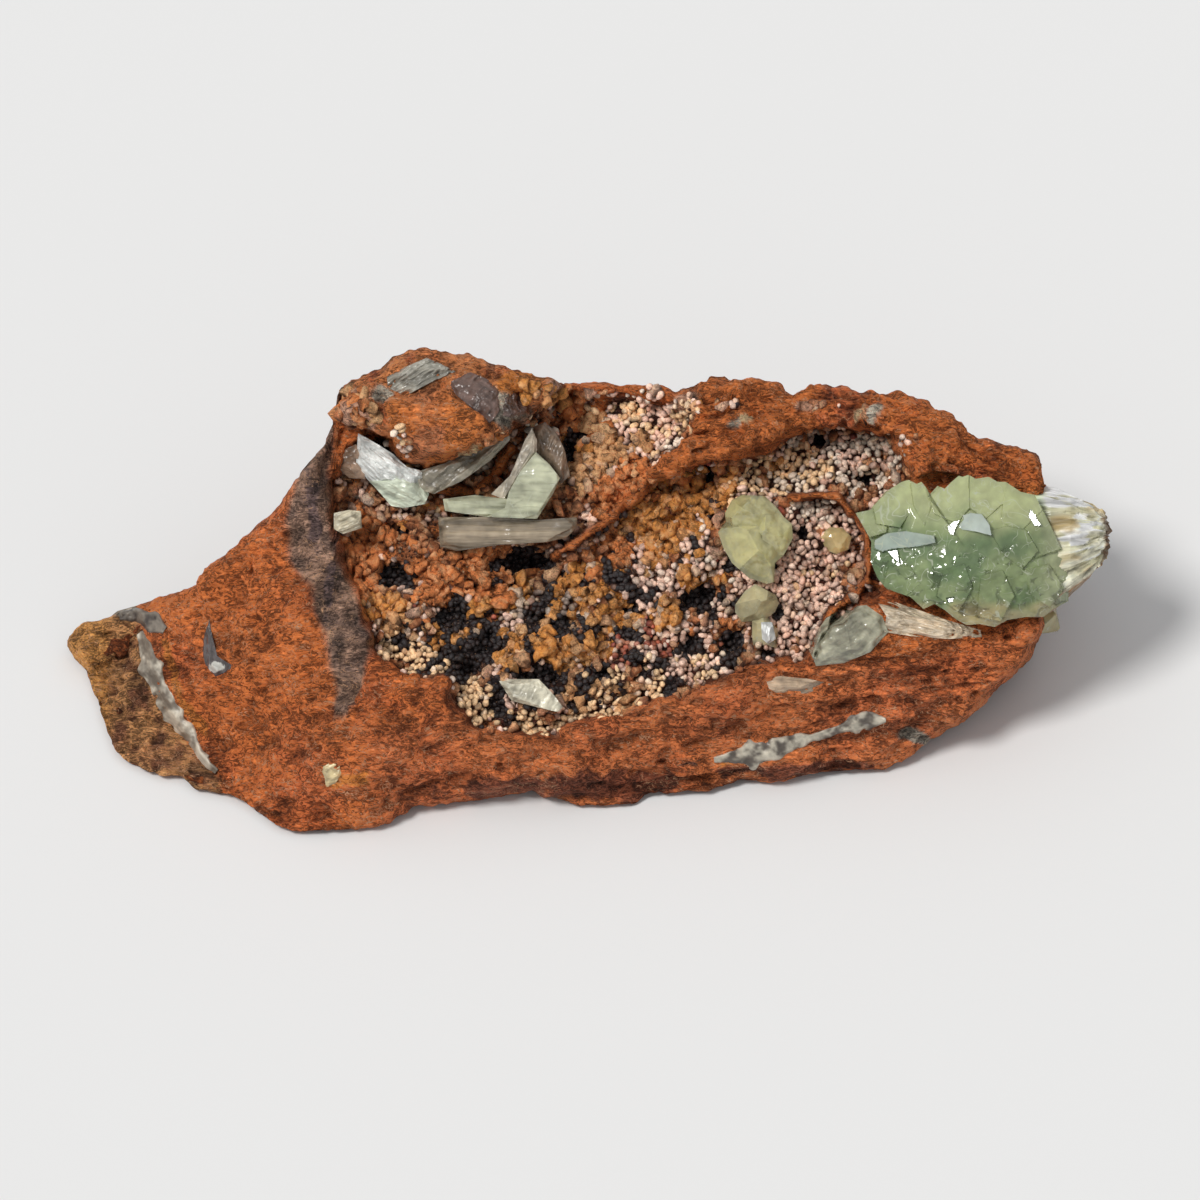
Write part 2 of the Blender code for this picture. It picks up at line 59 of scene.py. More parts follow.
def fromView(place):
    # turns (u, v, t) into x, y, z
    u, v, t = place[..., 0], place[..., 1], place[..., 2]
    return np.stack([u + shiftX, v * sinLean - t * cosLean + shiftY, v * cosLean + t * sinLean], axis=-1)


def smooth(share):
    # 0 below 0, 1 above 1, and 3s^2 - 2s^3 between
    share = np.clip(share, 0, 1)
    return share * share * (3 - 2 * share)


def mix(a, b, share):
    # a where share is 0, b where it is 1; colours mix channel by channel
    if np.ndim(share) and np.shape(a)[-1:] == (3,) or np.shape(b)[-1:] == (3,):
        share = np.asarray(share)[..., None]
    return a + (b - a) * share


def paint(red, green, blue):
    # a colour as the eye names it, 0 to 255, turned into light
    c = np.array([red, green, blue]) / 255
    return np.where(c <= 0.04045, c / 12.92, ((c + 0.055) / 1.055) ** 2.4)


def limit(colour, most=0.9):
    # colours brighter than the most a surface gives back are scaled down with their hue kept
    return np.maximum(colour / np.maximum(colour.max(axis=-1, keepdims=True) / most, 1), 0.002)


def valueNoise(points, size, seed=0):
    # random values on a lattice of that size, blended smoothly between its corners, -1 to 1
    scaled = points / size + seed * 7.31
    cell = np.floor(scaled).astype(int)
    share = smooth(scaled - cell)
    total = 0
    for corner in np.ndindex(2, 2, 2):
        at = (cell + corner) & 63
        weight = np.prod(np.where(np.array(corner) == 1, share, 1 - share), axis=-1)
        total = total + weight * latticeValues[at[..., 0], at[..., 1], at[..., 2]]
    return total * 2 - 1


def layeredNoise(points, size, layers=3, seed=0):
    # noise, plus half as strong noise at half the size, and so on
    return sum(valueNoise(points, size / 2 ** i, seed + i) / 2 ** i for i in range(layers))


def cellNoise(points, size, seed=0):
    # distance to the nearest of random points, one in each cell, in cells
    scaled = points / size + seed * 3.7
    cell = np.floor(scaled).astype(int)
    nearest = np.full(points.shape[:-1], 9.0)
    for corner in np.ndindex(3, 3, 3):
        other = cell + np.array(corner) - 1
        at = other & 63
        feature = other + latticePoints[at[..., 0], at[..., 1], at[..., 2]]
        nearest = np.minimum(nearest, ((scaled - feature) ** 2).sum(axis=-1))
    return np.sqrt(nearest)


def flat(u, v, layer=0.0):
    # (u, v) as points for the noise functions
    return np.stack([u, v, np.full(np.shape(u), layer)], axis=-1)


def insideDistance(u, v, outline):
    # distance to a closed outline, positive inside it
    points = np.array(outline, float)
    nearest, crossings = np.full(np.shape(u), 1e9), np.zeros(np.shape(u), int)
    for (au, av), (bu, bv) in zip(points, np.roll(points, -1, axis=0)):
        du, dv = bu - au, bv - av
        share = np.clip(((u - au) * du + (v - av) * dv) / (du * du + dv * dv), 0, 1)
        nearest = np.minimum(nearest, np.hypot(u - au - share * du, v - av - share * dv))
        crossings += ((av > v) != (bv > v)) & (u < au + (v - av) * du / (dv if dv else 1e-9))
    return np.where(crossings % 2 == 1, nearest, -nearest)


def pathDistance(u, v, path):
    # distance to a line through the points of path, and how far along it, 0 to 1
    points = np.array(path, float)
    nearest, along = np.full(np.shape(u), 1e9), np.zeros(np.shape(u))
    for i, ((au, av), (bu, bv)) in enumerate(zip(points, points[1:])):
        du, dv = bu - au, bv - av
        share = np.clip(((u - au) * du + (v - av) * dv) / (du * du + dv * dv), 0, 1)
        away = np.hypot(u - au - share * du, v - av - share * dv)
        along = np.where(away < nearest, (i + share) / (len(points) - 1), along)
        nearest = np.minimum(nearest, away)
    return nearest, along


def patchMask(u, v, patch, wobble, ragged=0.6):
    # an ellipse (u, v, half width, half height, turn in degrees) with a ragged edge, 0 to 1
    cu, cv, ru, rv, turn = patch
    c, s = math.cos(math.radians(turn)), math.sin(math.radians(turn))
    away = np.hypot(((u - cu) * c + (v - cv) * s) / ru, ((v - cv) * c - (u - cu) * s) / rv)
    return smooth((1.15 - away + ragged * wobble) / 0.3)


# ---- the rock's form

rock = dict(
    upperOutline=[
        (-53.5, -4.3), (-53.1, -3.5), (-51.6, -2.6), (-50.0, -2.4), (-48.4, -1.1), (-46.8, -0.7),
        (-43.6, 0.2), (-40.4, 1.6), (-38.8, 3.5), (-35.6, 6.1), (-32.4, 8.8), (-29.2, 13.6),
        (-27.6, 15.5), (-26.8, 17.4), (-26.1, 21.2), (-24.4, 22.1), (-22.8, 22.7), (-21.2, 23.8),
        (-19.6, 24.9), (-18.0, 25.2), (-14.8, 24.8), (-11.6, 24.2), (-10.0, 23.8), (-8.4, 22.9),
        (-6.8, 22.3), (-5.2, 22.1), (-3.6, 21.7), (-2.0, 21.4), (-0.4, 21.6), (2.8, 21.4),
        (6.0, 21.5), (7.6, 20.7), (9.2, 21.3), (12.4, 22.4), (14.0, 22.2), (17.2, 21.6),
        (18.8, 21.1), (23.6, 21.3), (26.8, 20.7), (30.0, 20.4), (31.6, 19.6), (33.2, 19.0),
        (34.8, 18.2), (36.4, 16.8), (38.0, 16.3), (39.6, 16.0), (41.2, 15.4), (42.8, 15.2),
        (43.5, 14.6), (44.2, 11.0), (44.6, 2.0),
    ],
    lowerOutline=[
        (-53.5, -4.3), (-53.0, -5.0), (-51.6, -6.2), (-50.0, -11.0), (-48.4, -15.2), (-46.8, -16.3),
        (-43.6, -17.6), (-42.0, -17.6), (-40.4, -18.9), (-37.2, -19.4), (-35.6, -20.2), (-34.0, -21.3),
        (-32.4, -22.4), (-30.8, -23.0), (-27.6, -23.1), (-22.8, -22.5), (-21.2, -22.0), (-18.0, -20.4),
        (-14.8, -20.0), (-10.0, -19.3), (-6.8, -18.8), (-5.2, -19.4), (-3.6, -20.2), (-0.4, -20.4),
        (2.8, -20.2), (4.4, -19.4), (6.0, -19.2), (10.8, -19.2), (12.4, -18.6), (15.6, -18.0),
        (20.4, -17.7), (25.2, -17.2), (28.4, -16.8), (30.0, -16.2), (31.6, -15.3), (33.2, -13.9),
        (36.4, -11.9), (38.0, -10.5), (41.2, -7.8), (42.8, -5.7), (43.8, -4.0), (44.6, 2.0),
    ],
    leftFace=(30.6, 0.45, 0.70),  # height at u=0 v=0, rise along u, rise along v
    frontFace=(23.9, -0.12, 1.15),
    showFace=(17.5, -0.02, 0.46),
    faceBlend=0.55,
    backRise=2.3,
    backFoot=[
        (-53.0, -6.5), (-46.0, -5.6), (-38.0, -3.4), (-31.0, -0.6), (-25.0, 6.6), (-17.0, 10.6),
        (-6.0, 10.9), (8.0, 9.4), (22.0, 10.6), (34.0, 8.4), (46.0, 5.0),
    ],
    topDrop=1.6,
    footEdge=0.9,
    rightFootLift=4.5,
    frontRounding=1.6,
    backRounding=4.5,
    jointLeft=[
        (-12.0, -26.4), (-9.0, -26.6), (-5.5, -27.5), (-1.0, -28.3), (2.0, -29.6), (4.0, -31.0),
        (8.0, -31.6), (13.5, -29.6), (18.0, -27.5), (22.0, -26.6),
    ],  # (v, u) of the grey joint face's left edge
    jointRight=[
        (-12.0, -25.2), (-9.0, -23.4), (-5.5, -22.7), (-1.0, -23.5), (2.0, -25.0), (4.0, -26.0),
        (8.0, -26.8), (13.5, -26.6), (18.0, -26.2), (22.0, -25.5),
    ],
    knob=(4.2, 2.2, [
        (-28.0, 27.0), (-25.4, 21.0), (-25.6, 18.0), (-23.0, 17.6), (-20.0, 15.9), (-17.0, 14.4),
        (-12.6, 15.0), (-9.0, 17.2), (-6.4, 18.8), (-4.0, 21.0), (-4.0, 27.0),
    ]),
    rim=(2.4, 1.2, [
        (3.6, 10.6), (9.0, 14.0), (12.5, 15.0), (15.8, 15.9), (21.5, 17.6), (28.5, 17.8),
        (29.8, 15.5), (30.6, 12.0), (35.0, 12.0), (43.0, 10.4), (48.0, 12.0), (48.0, 25.0),
        (10.0, 26.0), (9.0, 18.0), (5.0, 13.6),
    ]),
    lobe=(-1.4, 1.2, [
        (-56.0, 2.0), (-46.8, 0.4), (-45.6, -4.0), (-45.0, -7.0), (-43.4, -11.0), (-40.4, -15.6),
        (-38.0, -18.0), (-38.0, -24.0), (-56.0, -24.0),
    ]),
    cavity=(-3.5, 1.3, [
        (-26.0, 13.6), (-26.8, 9.8), (-25.6, 4.0), (-23.9, 0.4), (-23.0, -2.4), (-22.2, -5.4),
        (-20.6, -7.0), (-18.4, -7.4), (-15.3, -7.8), (-14.1, -10.3), (-12.6, -12.6), (-8.8, -13.4),
        (-5.0, -13.4), (-1.1, -12.1), (4.0, -10.8), (8.4, -9.4), (12.4, -7.6), (15.9, -6.2),
        (20.3, -6.2), (22.0, -3.4), (25.8, -0.2), (28.0, 1.4), (28.2, 6.0), (30.6, 9.0), (31.0, 13.0),
        (28.9, 16.6), (23.9, 17.8), (21.1, 17.2), (18.4, 16.1), (15.3, 14.4), (11.5, 14.3),
        (6.3, 12.2), (5.0, 12.6), (7.6, 14.8), (10.0, 16.4), (9.2, 19.0), (6.0, 20.0), (0.0, 20.6),
        (-4.0, 21.0), (-6.2, 19.6), (-7.2, 18.0), (-8.6, 17.6), (-9.6, 16.4), (-12.6, 14.4),
        (-17.0, 12.9), (-19.4, 13.8), (-21.4, 16.0), (-23.4, 17.2),
    ]),
    facet=(0.9, 0.7, [
        (-21.2, 17.6), (-21.0, 19.2), (-19.0, 20.4), (-16.6, 21.7), (-15.1, 20.8), (-13.2, 19.2), (-11.3, 17.8),
        (-13.2, 16.0), (-15.5, 14.0), (-17.3, 13.0), (-19.4, 13.8), (-20.9, 16.0),
    ]),  # the knob's flat facet
    swells=[
        (0.38, 0.31, 0.22, 0.4), (0.30, -0.24, 0.47, 1.9), (0.22, 0.66, -0.35, 3.1),
        (0.16, 0.52, 0.81, 5.0), (0.11, -1.05, 0.62, 2.2),
    ],  # rise, waves along u, waves along v, phase
    holes=[
        (-7.4, 3.7, 3.6, 1.5, -3.0), (-20.4, 2.3, 1.9, 1.6, -2.2), (-19.8, 7.1, 1.1, 0.6, -1.6),
        (-14.5, -1.9, 2.0, 1.2, -2.2), (-11.0, -4.5, 1.5, 1.4, -1.8), (-13.0, -6.9, 1.2, 0.9, -2.0),
        (-6.0, -7.6, 2.4, 1.1, -1.6), (-10.1, -10.9, 1.0, 1.0, -1.5), (-6.1, -1.5, 1.0, 0.6, -1.6),
        (-3.9, -2.6, 1.2, 1.2, -1.2), (-2.2, -10.1, 0.9, 1.0, -1.3), (0.5, -7.4, 1.0, 0.8, -1.4),
        (-0.2, -2.7, 0.6, 0.5, -1.2), (3.2, -0.9, 0.8, 0.6, -1.4), (9.8, 0.0, 2.5, 1.6, -2.6),
        (13.5, -4.1, 1.6, 1.5, -2.2), (9.1, -4.2, 0.9, 0.7, -1.4), (22.0, 15.8, 0.9, 0.9, -2.2),
        (26.4, 12.1, 0.8, 0.9, -2.0), (20.1, 6.6, 0.8, 0.8, -1.4), (11.1, 12.3, 0.9, 0.8, -2.0),
        (-3.0, 14.2, 0.9, 2.2, -2.2), (-22.0, 15.4, 1.6, 0.7, -2.4), (-1.6, 16.6, 0.7, 0.7, -1.6),
        (4.2, -6.8, 0.9, 0.5, -1.2), (-12.6, 1.6, 0.5, 0.4, -1.2), (2.4, 9.0, 0.5, 0.8, -1.4),
        (11.4, 8.6, 0.6, 1.4, -1.4), (-9.8, 12.2, 1.6, 0.6, -1.8), (16.6, -5.4, 0.8, 0.4, -1.2),
    ],  # u, v, half width, half height, depth
    pits=[
        (-34.8, 3.4, 0.18, 0.75, -0.9), (-7.8, 19.9, 0.9, 1.0, -1.8), (-21.8, 16.2, 1.4, 0.5, -1.6),
        (-24.3, -10.4, 0.3, 0.9, -0.5), (6.5, -16.2, 0.8, 0.3, -0.7), (-49.2, -3.4, 0.7, 0.5, -0.8),
        (-47.8, -5.6, 0.5, 0.9, -0.7), (41.0, -3.6, 0.6, 0.5, -0.6), (-26.2, 8.2, 0.6, 1.2, -0.5),
    ],
    walls=[
        (3.0, 0.30, [(19.1, 10.2), (21.5, 10.5), (23.7, 10.3), (25.5, 8.5), (26.7, 6.6), (27.0, 3.7), (26.8, 2.0),
                     (28.4, 0.8), (30.4, -0.2)]),
        (2.8, 0.32, [(26.8, 2.0), (25.7, 0.5), (23.0, -1.2), (22.0, -3.5), (21.2, -5.6)]),
        (2.4, 0.42, [(-4.6, 4.4), (-2.0, 6.0), (0.0, 7.4), (2.2, 9.2), (4.4, 10.8)]),
        (1.8, 0.5, [(-16.8, 11.2), (-13.0, 10.8), (-10.6, 12.4), (-8.9, 15.2)]),
    ],  # thin walls that stand in the cavity: rise, half width, path
    rimLine=[(3, 12.5), (9, 14.5), (15, 16.3), (22, 18.2), (28, 18.6), (34, 16.8), (40, 14.2), (45, 12)],
    stations=480,
    frontRows=166,
    backRows=38,
)


def plane(u, v, face):
    return face[0] + face[1] * u + face[2] * v


def softLeast(values, blend):
    # the smallest of several heights, with the creases between them rounded
    stacked = np.stack(values)
    lowest = stacked.min(axis=0)
    return lowest - blend * np.log(np.exp((lowest - stacked) / blend).sum(axis=0))


def region(u, v, shape):
    # a rise that fades across an outline
    rise, slope, outline = shape
    return rise * smooth(insideDistance(u, v, outline) / slope + 0.5)


def swells(u, v):
    return sum(rise * np.sin(a * u + b * v + c) for rise, a, b, c in rock["swells"])


def jointShare(u, v):
    # 0 left of the grey joint face, 1 right of it
    left = np.interp(v, *np.array(rock["jointLeft"]).T)
    right = np.interp(v, *np.array(rock["jointRight"]).T)
    wander = 0.5 * layeredNoise(flat(u, v, 3.0), 2.4, 3, 5)
    return (u + wander - left) / (right - left)


def cavityShare(u, v):
    # 1 in the open cavity, 0 on the rock round it, with a ragged edge
    wander = 0.45 * layeredNoise(flat(u, v, 9.0), 1.8, 3, 2)
    return smooth((insideDistance(u, v, rock["cavity"][2]) + wander) / rock["cavity"][1] + 0.5)


def wallShare(u, v):
    # 1 along the thin walls that stand in the cavity
    total = 0
    for rise, half, path in rock["walls"]:
        away, _ = pathDistance(u, v, path)
        away = away + 0.22 * layeredNoise(flat(u, v, 4.0), 1.1, 2, 8)
        total = np.maximum(total, smooth(1.3 - away / half))
    return total


def skinHeight(u, v):
    # the lowest of the three fracture faces, plus what stands up or lies low on them
    left, show = plane(u, v, rock["leftFace"]), plane(u, v, rock["showFace"])
    show = show + region(u, v, rock["knob"]) + region(u, v, rock["rim"]) + region(u, v, rock["facet"])
    show = show + np.maximum(left - show, 0) * (1 - smooth(jointShare(u, v)))
    height = softLeast([left, show, plane(u, v, rock["frontFace"])], rock["faceBlend"])
    height = height + swells(u, v) + region(u, v, rock["lobe"])
    open_ = cavityShare(u, v)
    at = flat(u, v, 1.0)
    nodules = 0.9 * (0.5 - cellNoise(at, 1.7, 4)) + 0.35 * (0.5 - cellNoise(at, 0.8, 5))
    lumps = 0.9 * layeredNoise(at, 3.4, 3, 1) + nodules
    relief = rock["cavity"][0] + lumps
    for cu, cv, ru, rv, depth in rock["holes"]:
        away = ((u - cu) / ru) ** 2 + ((v - cv) / rv) ** 2
        relief = relief + depth * np.exp(-away ** 1.5)
    for rise, half, path in rock["walls"]:
        away, _ = pathDistance(u, v, path)
        away = away + 0.22 * layeredNoise(flat(u, v, 4.0), 1.1, 2, 8)
        relief = relief + (rise - 0.55 * lumps) * smooth(1.5 - away / half)
    for cu, cv, ru, rv, depth in rock["pits"]:
        height = height + depth * np.exp(-((u - cu) / ru) ** 2 - ((v - cv) / rv) ** 2)
    return height + open_ * relief


def rockSheet(u, share, front):
    # share runs from 0 at the lower outline to 1 at the upper one; near either the skin rounds off
    low = np.interp(u, *np.array(rock["lowerOutline"]).T)
    high = np.interp(u, *np.array(rock["upperOutline"]).T)
    v = low + (high - low) * share
    foot = rock["footEdge"] + rock["rightFootLift"] * smooth((u - 28) / 18)
    top = np.maximum(skinHeight(u, high) - rock["topDrop"], foot + 0.6)
    rim = foot + (top - foot) * share
    margin = np.minimum(v - low, high - v)
    footLine = np.interp(u, *np.array(rock["backFoot"]).T) + swells(0.9 * u, 1.4 * v + 5)
    skin, width = np.clip(np.minimum(rock["backRise"] * (v - footLine), rim), 0, None), rock["backRounding"]
    if front:
        skin, width = np.maximum(skinHeight(u, v), np.minimum(skin + 0.8, rim)), rock["frontRounding"]
    rounding = np.sqrt(1 - (1 - np.clip(margin / width, 0, 1)) ** 2)
    return v, np.maximum(rim + (skin - rim) * rounding, 0)


# ---- meshes

def signedVolume(points, faces):
    # six times the volume inside the faces, negative where they point inwards
    total = 0
    for group in faces:
        a = points[group[:, 0]]
        for k in range(1, group.shape[1] - 1):
            total += (a * np.cross(points[group[:, k]], points[group[:, k + 1]])).sum()
    return total


def addPiece(name, points, faces, material, tint=None, smoothShading=True):
    # faces is a list of index arrays; the piece is turned outwards if its volume is negative
    if signedVolume(points, faces) < 0:
        faces = [group[:, ::-1] for group in faces]
    mesh = bpy.data.meshes.new(name)
    mesh.vertices.add(len(points))
    mesh.vertices.foreach_set("co", (points * mm).ravel())
    loops = np.concatenate([group.ravel() for group in faces])
    sizes = np.concatenate([np.full(len(group), group.shape[1]) for group in faces])
    mesh.loops.add(len(loops))
    mesh.loops.foreach_set("vertex_index", loops)
    mesh.polygons.add(len(sizes))
    mesh.polygons.foreach_set("loop_start", np.cumsum(sizes) - sizes)
    mesh.polygons.foreach_set("use_smooth", np.full(len(sizes), smoothShading))
    mesh.update(calc_edges=True)
    mesh.validate()
    if tint is not None:
        rgba = np.ones((len(points), 4))
        rgba[:, :3] = tint
        mesh.color_attributes.new("tint", "FLOAT_COLOR", "POINT").data.foreach_set("color", rgba.ravel())
    mesh.materials.append(material)
    piece = bpy.data.objects.new(name, mesh)
    bpy.context.scene.collection.objects.link(piece)
    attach(piece, "root")
    return piece


def closedSheet(name, rings, material, tips=None, tint=None, smoothShading=True):
    # rings x around x 3 points: quads between neighbouring rings, and a fan to a tip at each end
    count, around = rings.shape[:2]
    if tips is None:
        tips = (rings[0].mean(axis=0), rings[-1].mean(axis=0))
    points = np.concatenate([rings.reshape(-1, 3), np.array(tips)])
    i, j = np.meshgrid(np.arange(count - 1), np.arange(around), indexing="ij")
    k = (j + 1) % around
    quads = np.stack([i * around + j, i * around + k, (i + 1) * around + k, (i + 1) * around + j], axis=-1)
    j = np.arange(around)
    k = (j + 1) % around
    first, last = count * around, count * around + 1
    end = (count - 1) * around
    fanA = np.stack([np.full(around, first), k, j], axis=-1)
    fanB = np.stack([np.full(around, last), end + j, end + k], axis=-1)
    if tint is not None:
        tint = np.concatenate([tint.reshape(-1, 3), tint[0].mean(axis=0)[None], tint[-1].mean(axis=0)[None]])
    return addPiece(name, points, [quads.reshape(-1, 4), np.concatenate([fanA, fanB])], material, tint, smoothShading)


def sheetNormals(rings):
    # unit normals of a grid that closes round its second side
    down = np.gradient(rings, axis=0)
    wrapped = np.concatenate([rings[:, -1:], rings, rings[:, :1]], axis=1)
    across = np.gradient(wrapped, axis=1)[:, 1:-1]
    normal = np.cross(down, across)
    return normal / np.maximum(np.linalg.norm(normal, axis=-1, keepdims=True), 1e-9)


# ---- material tools

def addNode(tree, kind, place, inputs=None, **settings):
    node = tree.nodes.new(kind)
    node.location = place
    for key, value in settings.items():
        setattr(node, key, value)
    for key, value in (inputs or {}).items():
        if isinstance(value, bpy.types.NodeSocket):
            tree.links.new(value, node.inputs[key])
        else:
            node.inputs[key].default_value = value
    return node


def newGroup(name, inputs, outputs):
    # a shader node group with named sockets: (name, type, default)
    tree = bpy.data.node_groups.new(name, "ShaderNodeTree")
    for label, kind, default in inputs:
        socket = tree.interface.new_socket(label, in_out="INPUT", socket_type=kind)
        if default is not None:
            socket.default_value = default
    for label, kind in outputs:
        tree.interface.new_socket(label, in_out="OUTPUT", socket_type=kind)
    return tree, addNode(tree, "NodeGroupInput", (-900, 0)), addNode(tree, "NodeGroupOutput", (900, 0))


def maths(tree, operation, a, b, place=(0, 0), clamp=False):
    node = addNode(tree, "ShaderNodeMath", place, {0: a, 1: b}, operation=operation, use_clamp=clamp)
    return node.outputs[0]


def ramp(tree, value, low, high, place=(0, 0), toLow=0.0, toHigh=1.0):
    node = addNode(tree, "ShaderNodeMapRange", place, {
        "Value": value, "From Min": low, "From Max": high, "To Min": toLow, "To Max": toHigh,
    })
    return node.outputs["Result"]


def colourMix(tree, share, a, b, place=(0, 0), blend="MIX"):
    node = addNode(tree, "ShaderNodeMix", place, {"Factor": share, 6: a, 7: b}, data_type="RGBA", blend_type=blend)
    return node.outputs[2]


def newMaterial(name):
    material = bpy.data.materials.new(name)
    material.use_nodes = True
    tree = material.node_tree
    return material, tree, tree.nodes["Principled BSDF"], tree.nodes["Material Output"]


def makeEarthGrain():
    # crumbly earth: two noises and a cell pattern raise the surface, and the tint is painted darker in its low places
    # as shade and lighter on its high places as highlight
    tree, given, result = newGroup("earthGrain", [
        ("Tint", "NodeSocketColor", (0.5, 0.2, 0.1, 1)), ("Grains", "NodeSocketFloat", 900.0),
        ("Depth", "NodeSocketFloat", 0.5), ("Dust", "NodeSocketFloat", 0.3), ("Threads", "NodeSocketFloat", 0.0),
        ("Gloss", "NodeSocketFloat", 1.0), ("Stretch", "NodeSocketVector", (1.0, 1.0, 1.0)),
    ], [("Colour", "NodeSocketColor"), ("Height", "NodeSocketFloat"), ("Roughness", "NodeSocketFloat")])
    where = addNode(tree, "ShaderNodeTexCoord", (-1300, 200)).outputs["Object"]
    where = addNode(tree, "ShaderNodeVectorMath", (-1100, 200), {0: where, 1: given.outputs["Stretch"]},
                    operation="MULTIPLY").outputs[0]
    fine = maths(tree, "MULTIPLY", given.outputs["Grains"], 3.1, (-700, -200))
    broad = maths(tree, "MULTIPLY", given.outputs["Grains"], 0.21, (-700, -350))
    coarse = addNode(tree, "ShaderNodeTexNoise", (-500, 300), {
        "Vector": where, "Scale": given.outputs["Grains"], "Detail": 4.0, "Roughness": 0.65, "Distortion": 1.8,
    }).outputs["Fac"]
    tiny = addNode(tree, "ShaderNodeTexNoise", (-500, 50), {
        "Vector": where, "Scale": fine, "Detail": 2.0, "Roughness": 0.6,
    }).outputs["Fac"]
    drift = addNode(tree, "ShaderNodeTexNoise", (-500, -200), {
        "Vector": where, "Scale": broad, "Detail": 4.0, "Roughness": 0.6,
    }).outputs["Fac"]
    cells = addNode(tree, "ShaderNodeTexVoronoi", (-500, -450), {"Vector": where, "Scale": given.outputs["Grains"]}
                    ).outputs["Distance"]
    height = maths(tree, "MULTIPLY_ADD", tiny, 0.45, (-200, 200))
    tree.links.new(coarse, height.node.inputs[2])
    raw = maths(tree, "SUBTRACT", height, maths(tree, "MULTIPLY", cells, 0.25, (-200, -50)), (-50, 150))
    # pale threads lie where a warped noise crosses its middle, in some places only
    half = maths(tree, "MULTIPLY", given.outputs["Grains"], 0.42, (-700, -600))
    warped = addNode(tree, "ShaderNodeTexNoise", (-500, -650), {
        "Vector": where, "Scale": half, "Detail": 2.5, "Roughness": 0.6, "Distortion": 1.6,
    }).outputs["Fac"]
    offMiddle = maths(tree, "ABSOLUTE", maths(tree, "SUBTRACT", warped, 0.5, (-300, -650)), 0.0, (-150, -650))
    thread = ramp(tree, offMiddle, 0.003, 0.018, (0, -650), 1.0, 0.0)
    thread = maths(tree, "MULTIPLY", thread, ramp(tree, drift, 0.47, 0.53, (0, -800)), (150, -650))
    thread = maths(tree, "MULTIPLY", thread, given.outputs["Threads"], (300, -650))
    # thin cracks run where the coarse noise crosses just below its middle; they sink the height, so they are painted
    # dark as shade
    offLow = maths(tree, "ABSOLUTE", maths(tree, "SUBTRACT", coarse, 0.46, (-300, 500)), 0.0, (-150, 500))
    crack = ramp(tree, offLow, 0.0, 0.035, (0, 500), 1.0, 0.0)
    crack = maths(tree, "MULTIPLY", crack, ramp(tree, drift, 0.56, 0.48, (0, 650)), (150, 500))
    raw = maths(tree, "SUBTRACT", raw, maths(tree, "MULTIPLY", crack, 0.22, (250, 500)), (-100, 300))
    height = maths(tree, "MULTIPLY_ADD", thread, 0.12, (-20, 300))
    tree.links.new(raw, height.node.inputs[2])
    # painted shade in low places of the height and painted highlight on high places
    crevice = ramp(tree, height, 0.42, 0.70, (100, 150))
    depth = given.outputs["Depth"]
    white = (1.0, 1.0, 1.0, 1.0)
    low = colourMix(tree, depth, white, (0.03, 0.005, 0.0, 1), (100, -50))
    high = colourMix(tree, depth, white, (1.95, 1.90, 1.85, 1), (100, -200))
    shade = colourMix(tree, crevice, low, high, (300, 100))
    colour = colourMix(tree, 1.0, given.outputs["Tint"], shade, (450, 200), "MULTIPLY")
    wash = ramp(tree, drift, 0.3, 0.7, (300, -100), 0.86, 1.16)
    grey = addNode(tree, "ShaderNodeCombineColor", (500, 50), {0: wash, 1: wash, 2: wash}).outputs[0]
    colour = colourMix(tree, 1.0, colour, grey, (650, 200), "MULTIPLY")
    dusty = maths(tree, "MULTIPLY", ramp(tree, tiny, 0.60, 0.70, (450, -250)), given.outputs["Dust"], (600, -250))
    colour = colourMix(tree, dusty, colour, (0.56, 0.37, 0.24, 1), (780, 100))
    colour = colourMix(tree, thread, colour, (1.0, 0.56, 0.32, 1), (880, 100))
    tree.links.new(colour, result.inputs["Colour"])
    tree.links.new(height, result.inputs["Height"])
    rough = maths(tree, "MULTIPLY", ramp(tree, crevice, 0.0, 1.0, (650, -400), 0.95, 0.72), given.outputs["Gloss"],
                  (800, -400))
    tree.links.new(rough, result.inputs["Roughness"])
    return tree


def makeFibreLines():
    # noise drawn out along X of the vector it is given: silky fibres and cleavage steps
    tree, given, result = newGroup("fibreLines", [
        ("Vector", "NodeSocketVector", None), ("Fineness", "NodeSocketFloat", 2500.0), ("Length", "NodeSocketFloat", 0.06),
    ], [("Lines", "NodeSocketFloat"), ("Height", "NodeSocketFloat")])
    stretch = addNode(tree, "ShaderNodeCombineXYZ", (-700, -200), {0: given.outputs["Length"], 1: 1.0, 2: 1.0}).outputs[0]
    drawn = addNode(tree, "ShaderNodeVectorMath", (-500, 0), {0: given.outputs["Vector"], 1: stretch},
                    operation="MULTIPLY").outputs[0]
    thread = addNode(tree, "ShaderNodeTexNoise", (-300, 150), {
        "Vector": drawn, "Scale": given.outputs["Fineness"], "Detail": 3.0, "Roughness": 0.55,
    }).outputs["Fac"]
    broad = maths(tree, "MULTIPLY", given.outputs["Fineness"], 0.3, (-500, -350))
    bundle = addNode(tree, "ShaderNodeTexNoise", (-300, -150), {
        "Vector": drawn, "Scale": broad, "Detail": 2.0, "Roughness": 0.5,
    }).outputs["Fac"]
    both = maths(tree, "MULTIPLY_ADD", bundle, 0.8, (0, 0))
    tree.links.new(maths(tree, "MULTIPLY", thread, 0.6, (-100, 150)), both.node.inputs[2])
    tree.links.new(ramp(tree, both, 0.5, 0.9, (300, 100)), result.inputs["Lines"])
    tree.links.new(both, result.inputs["Height"])
    return tree


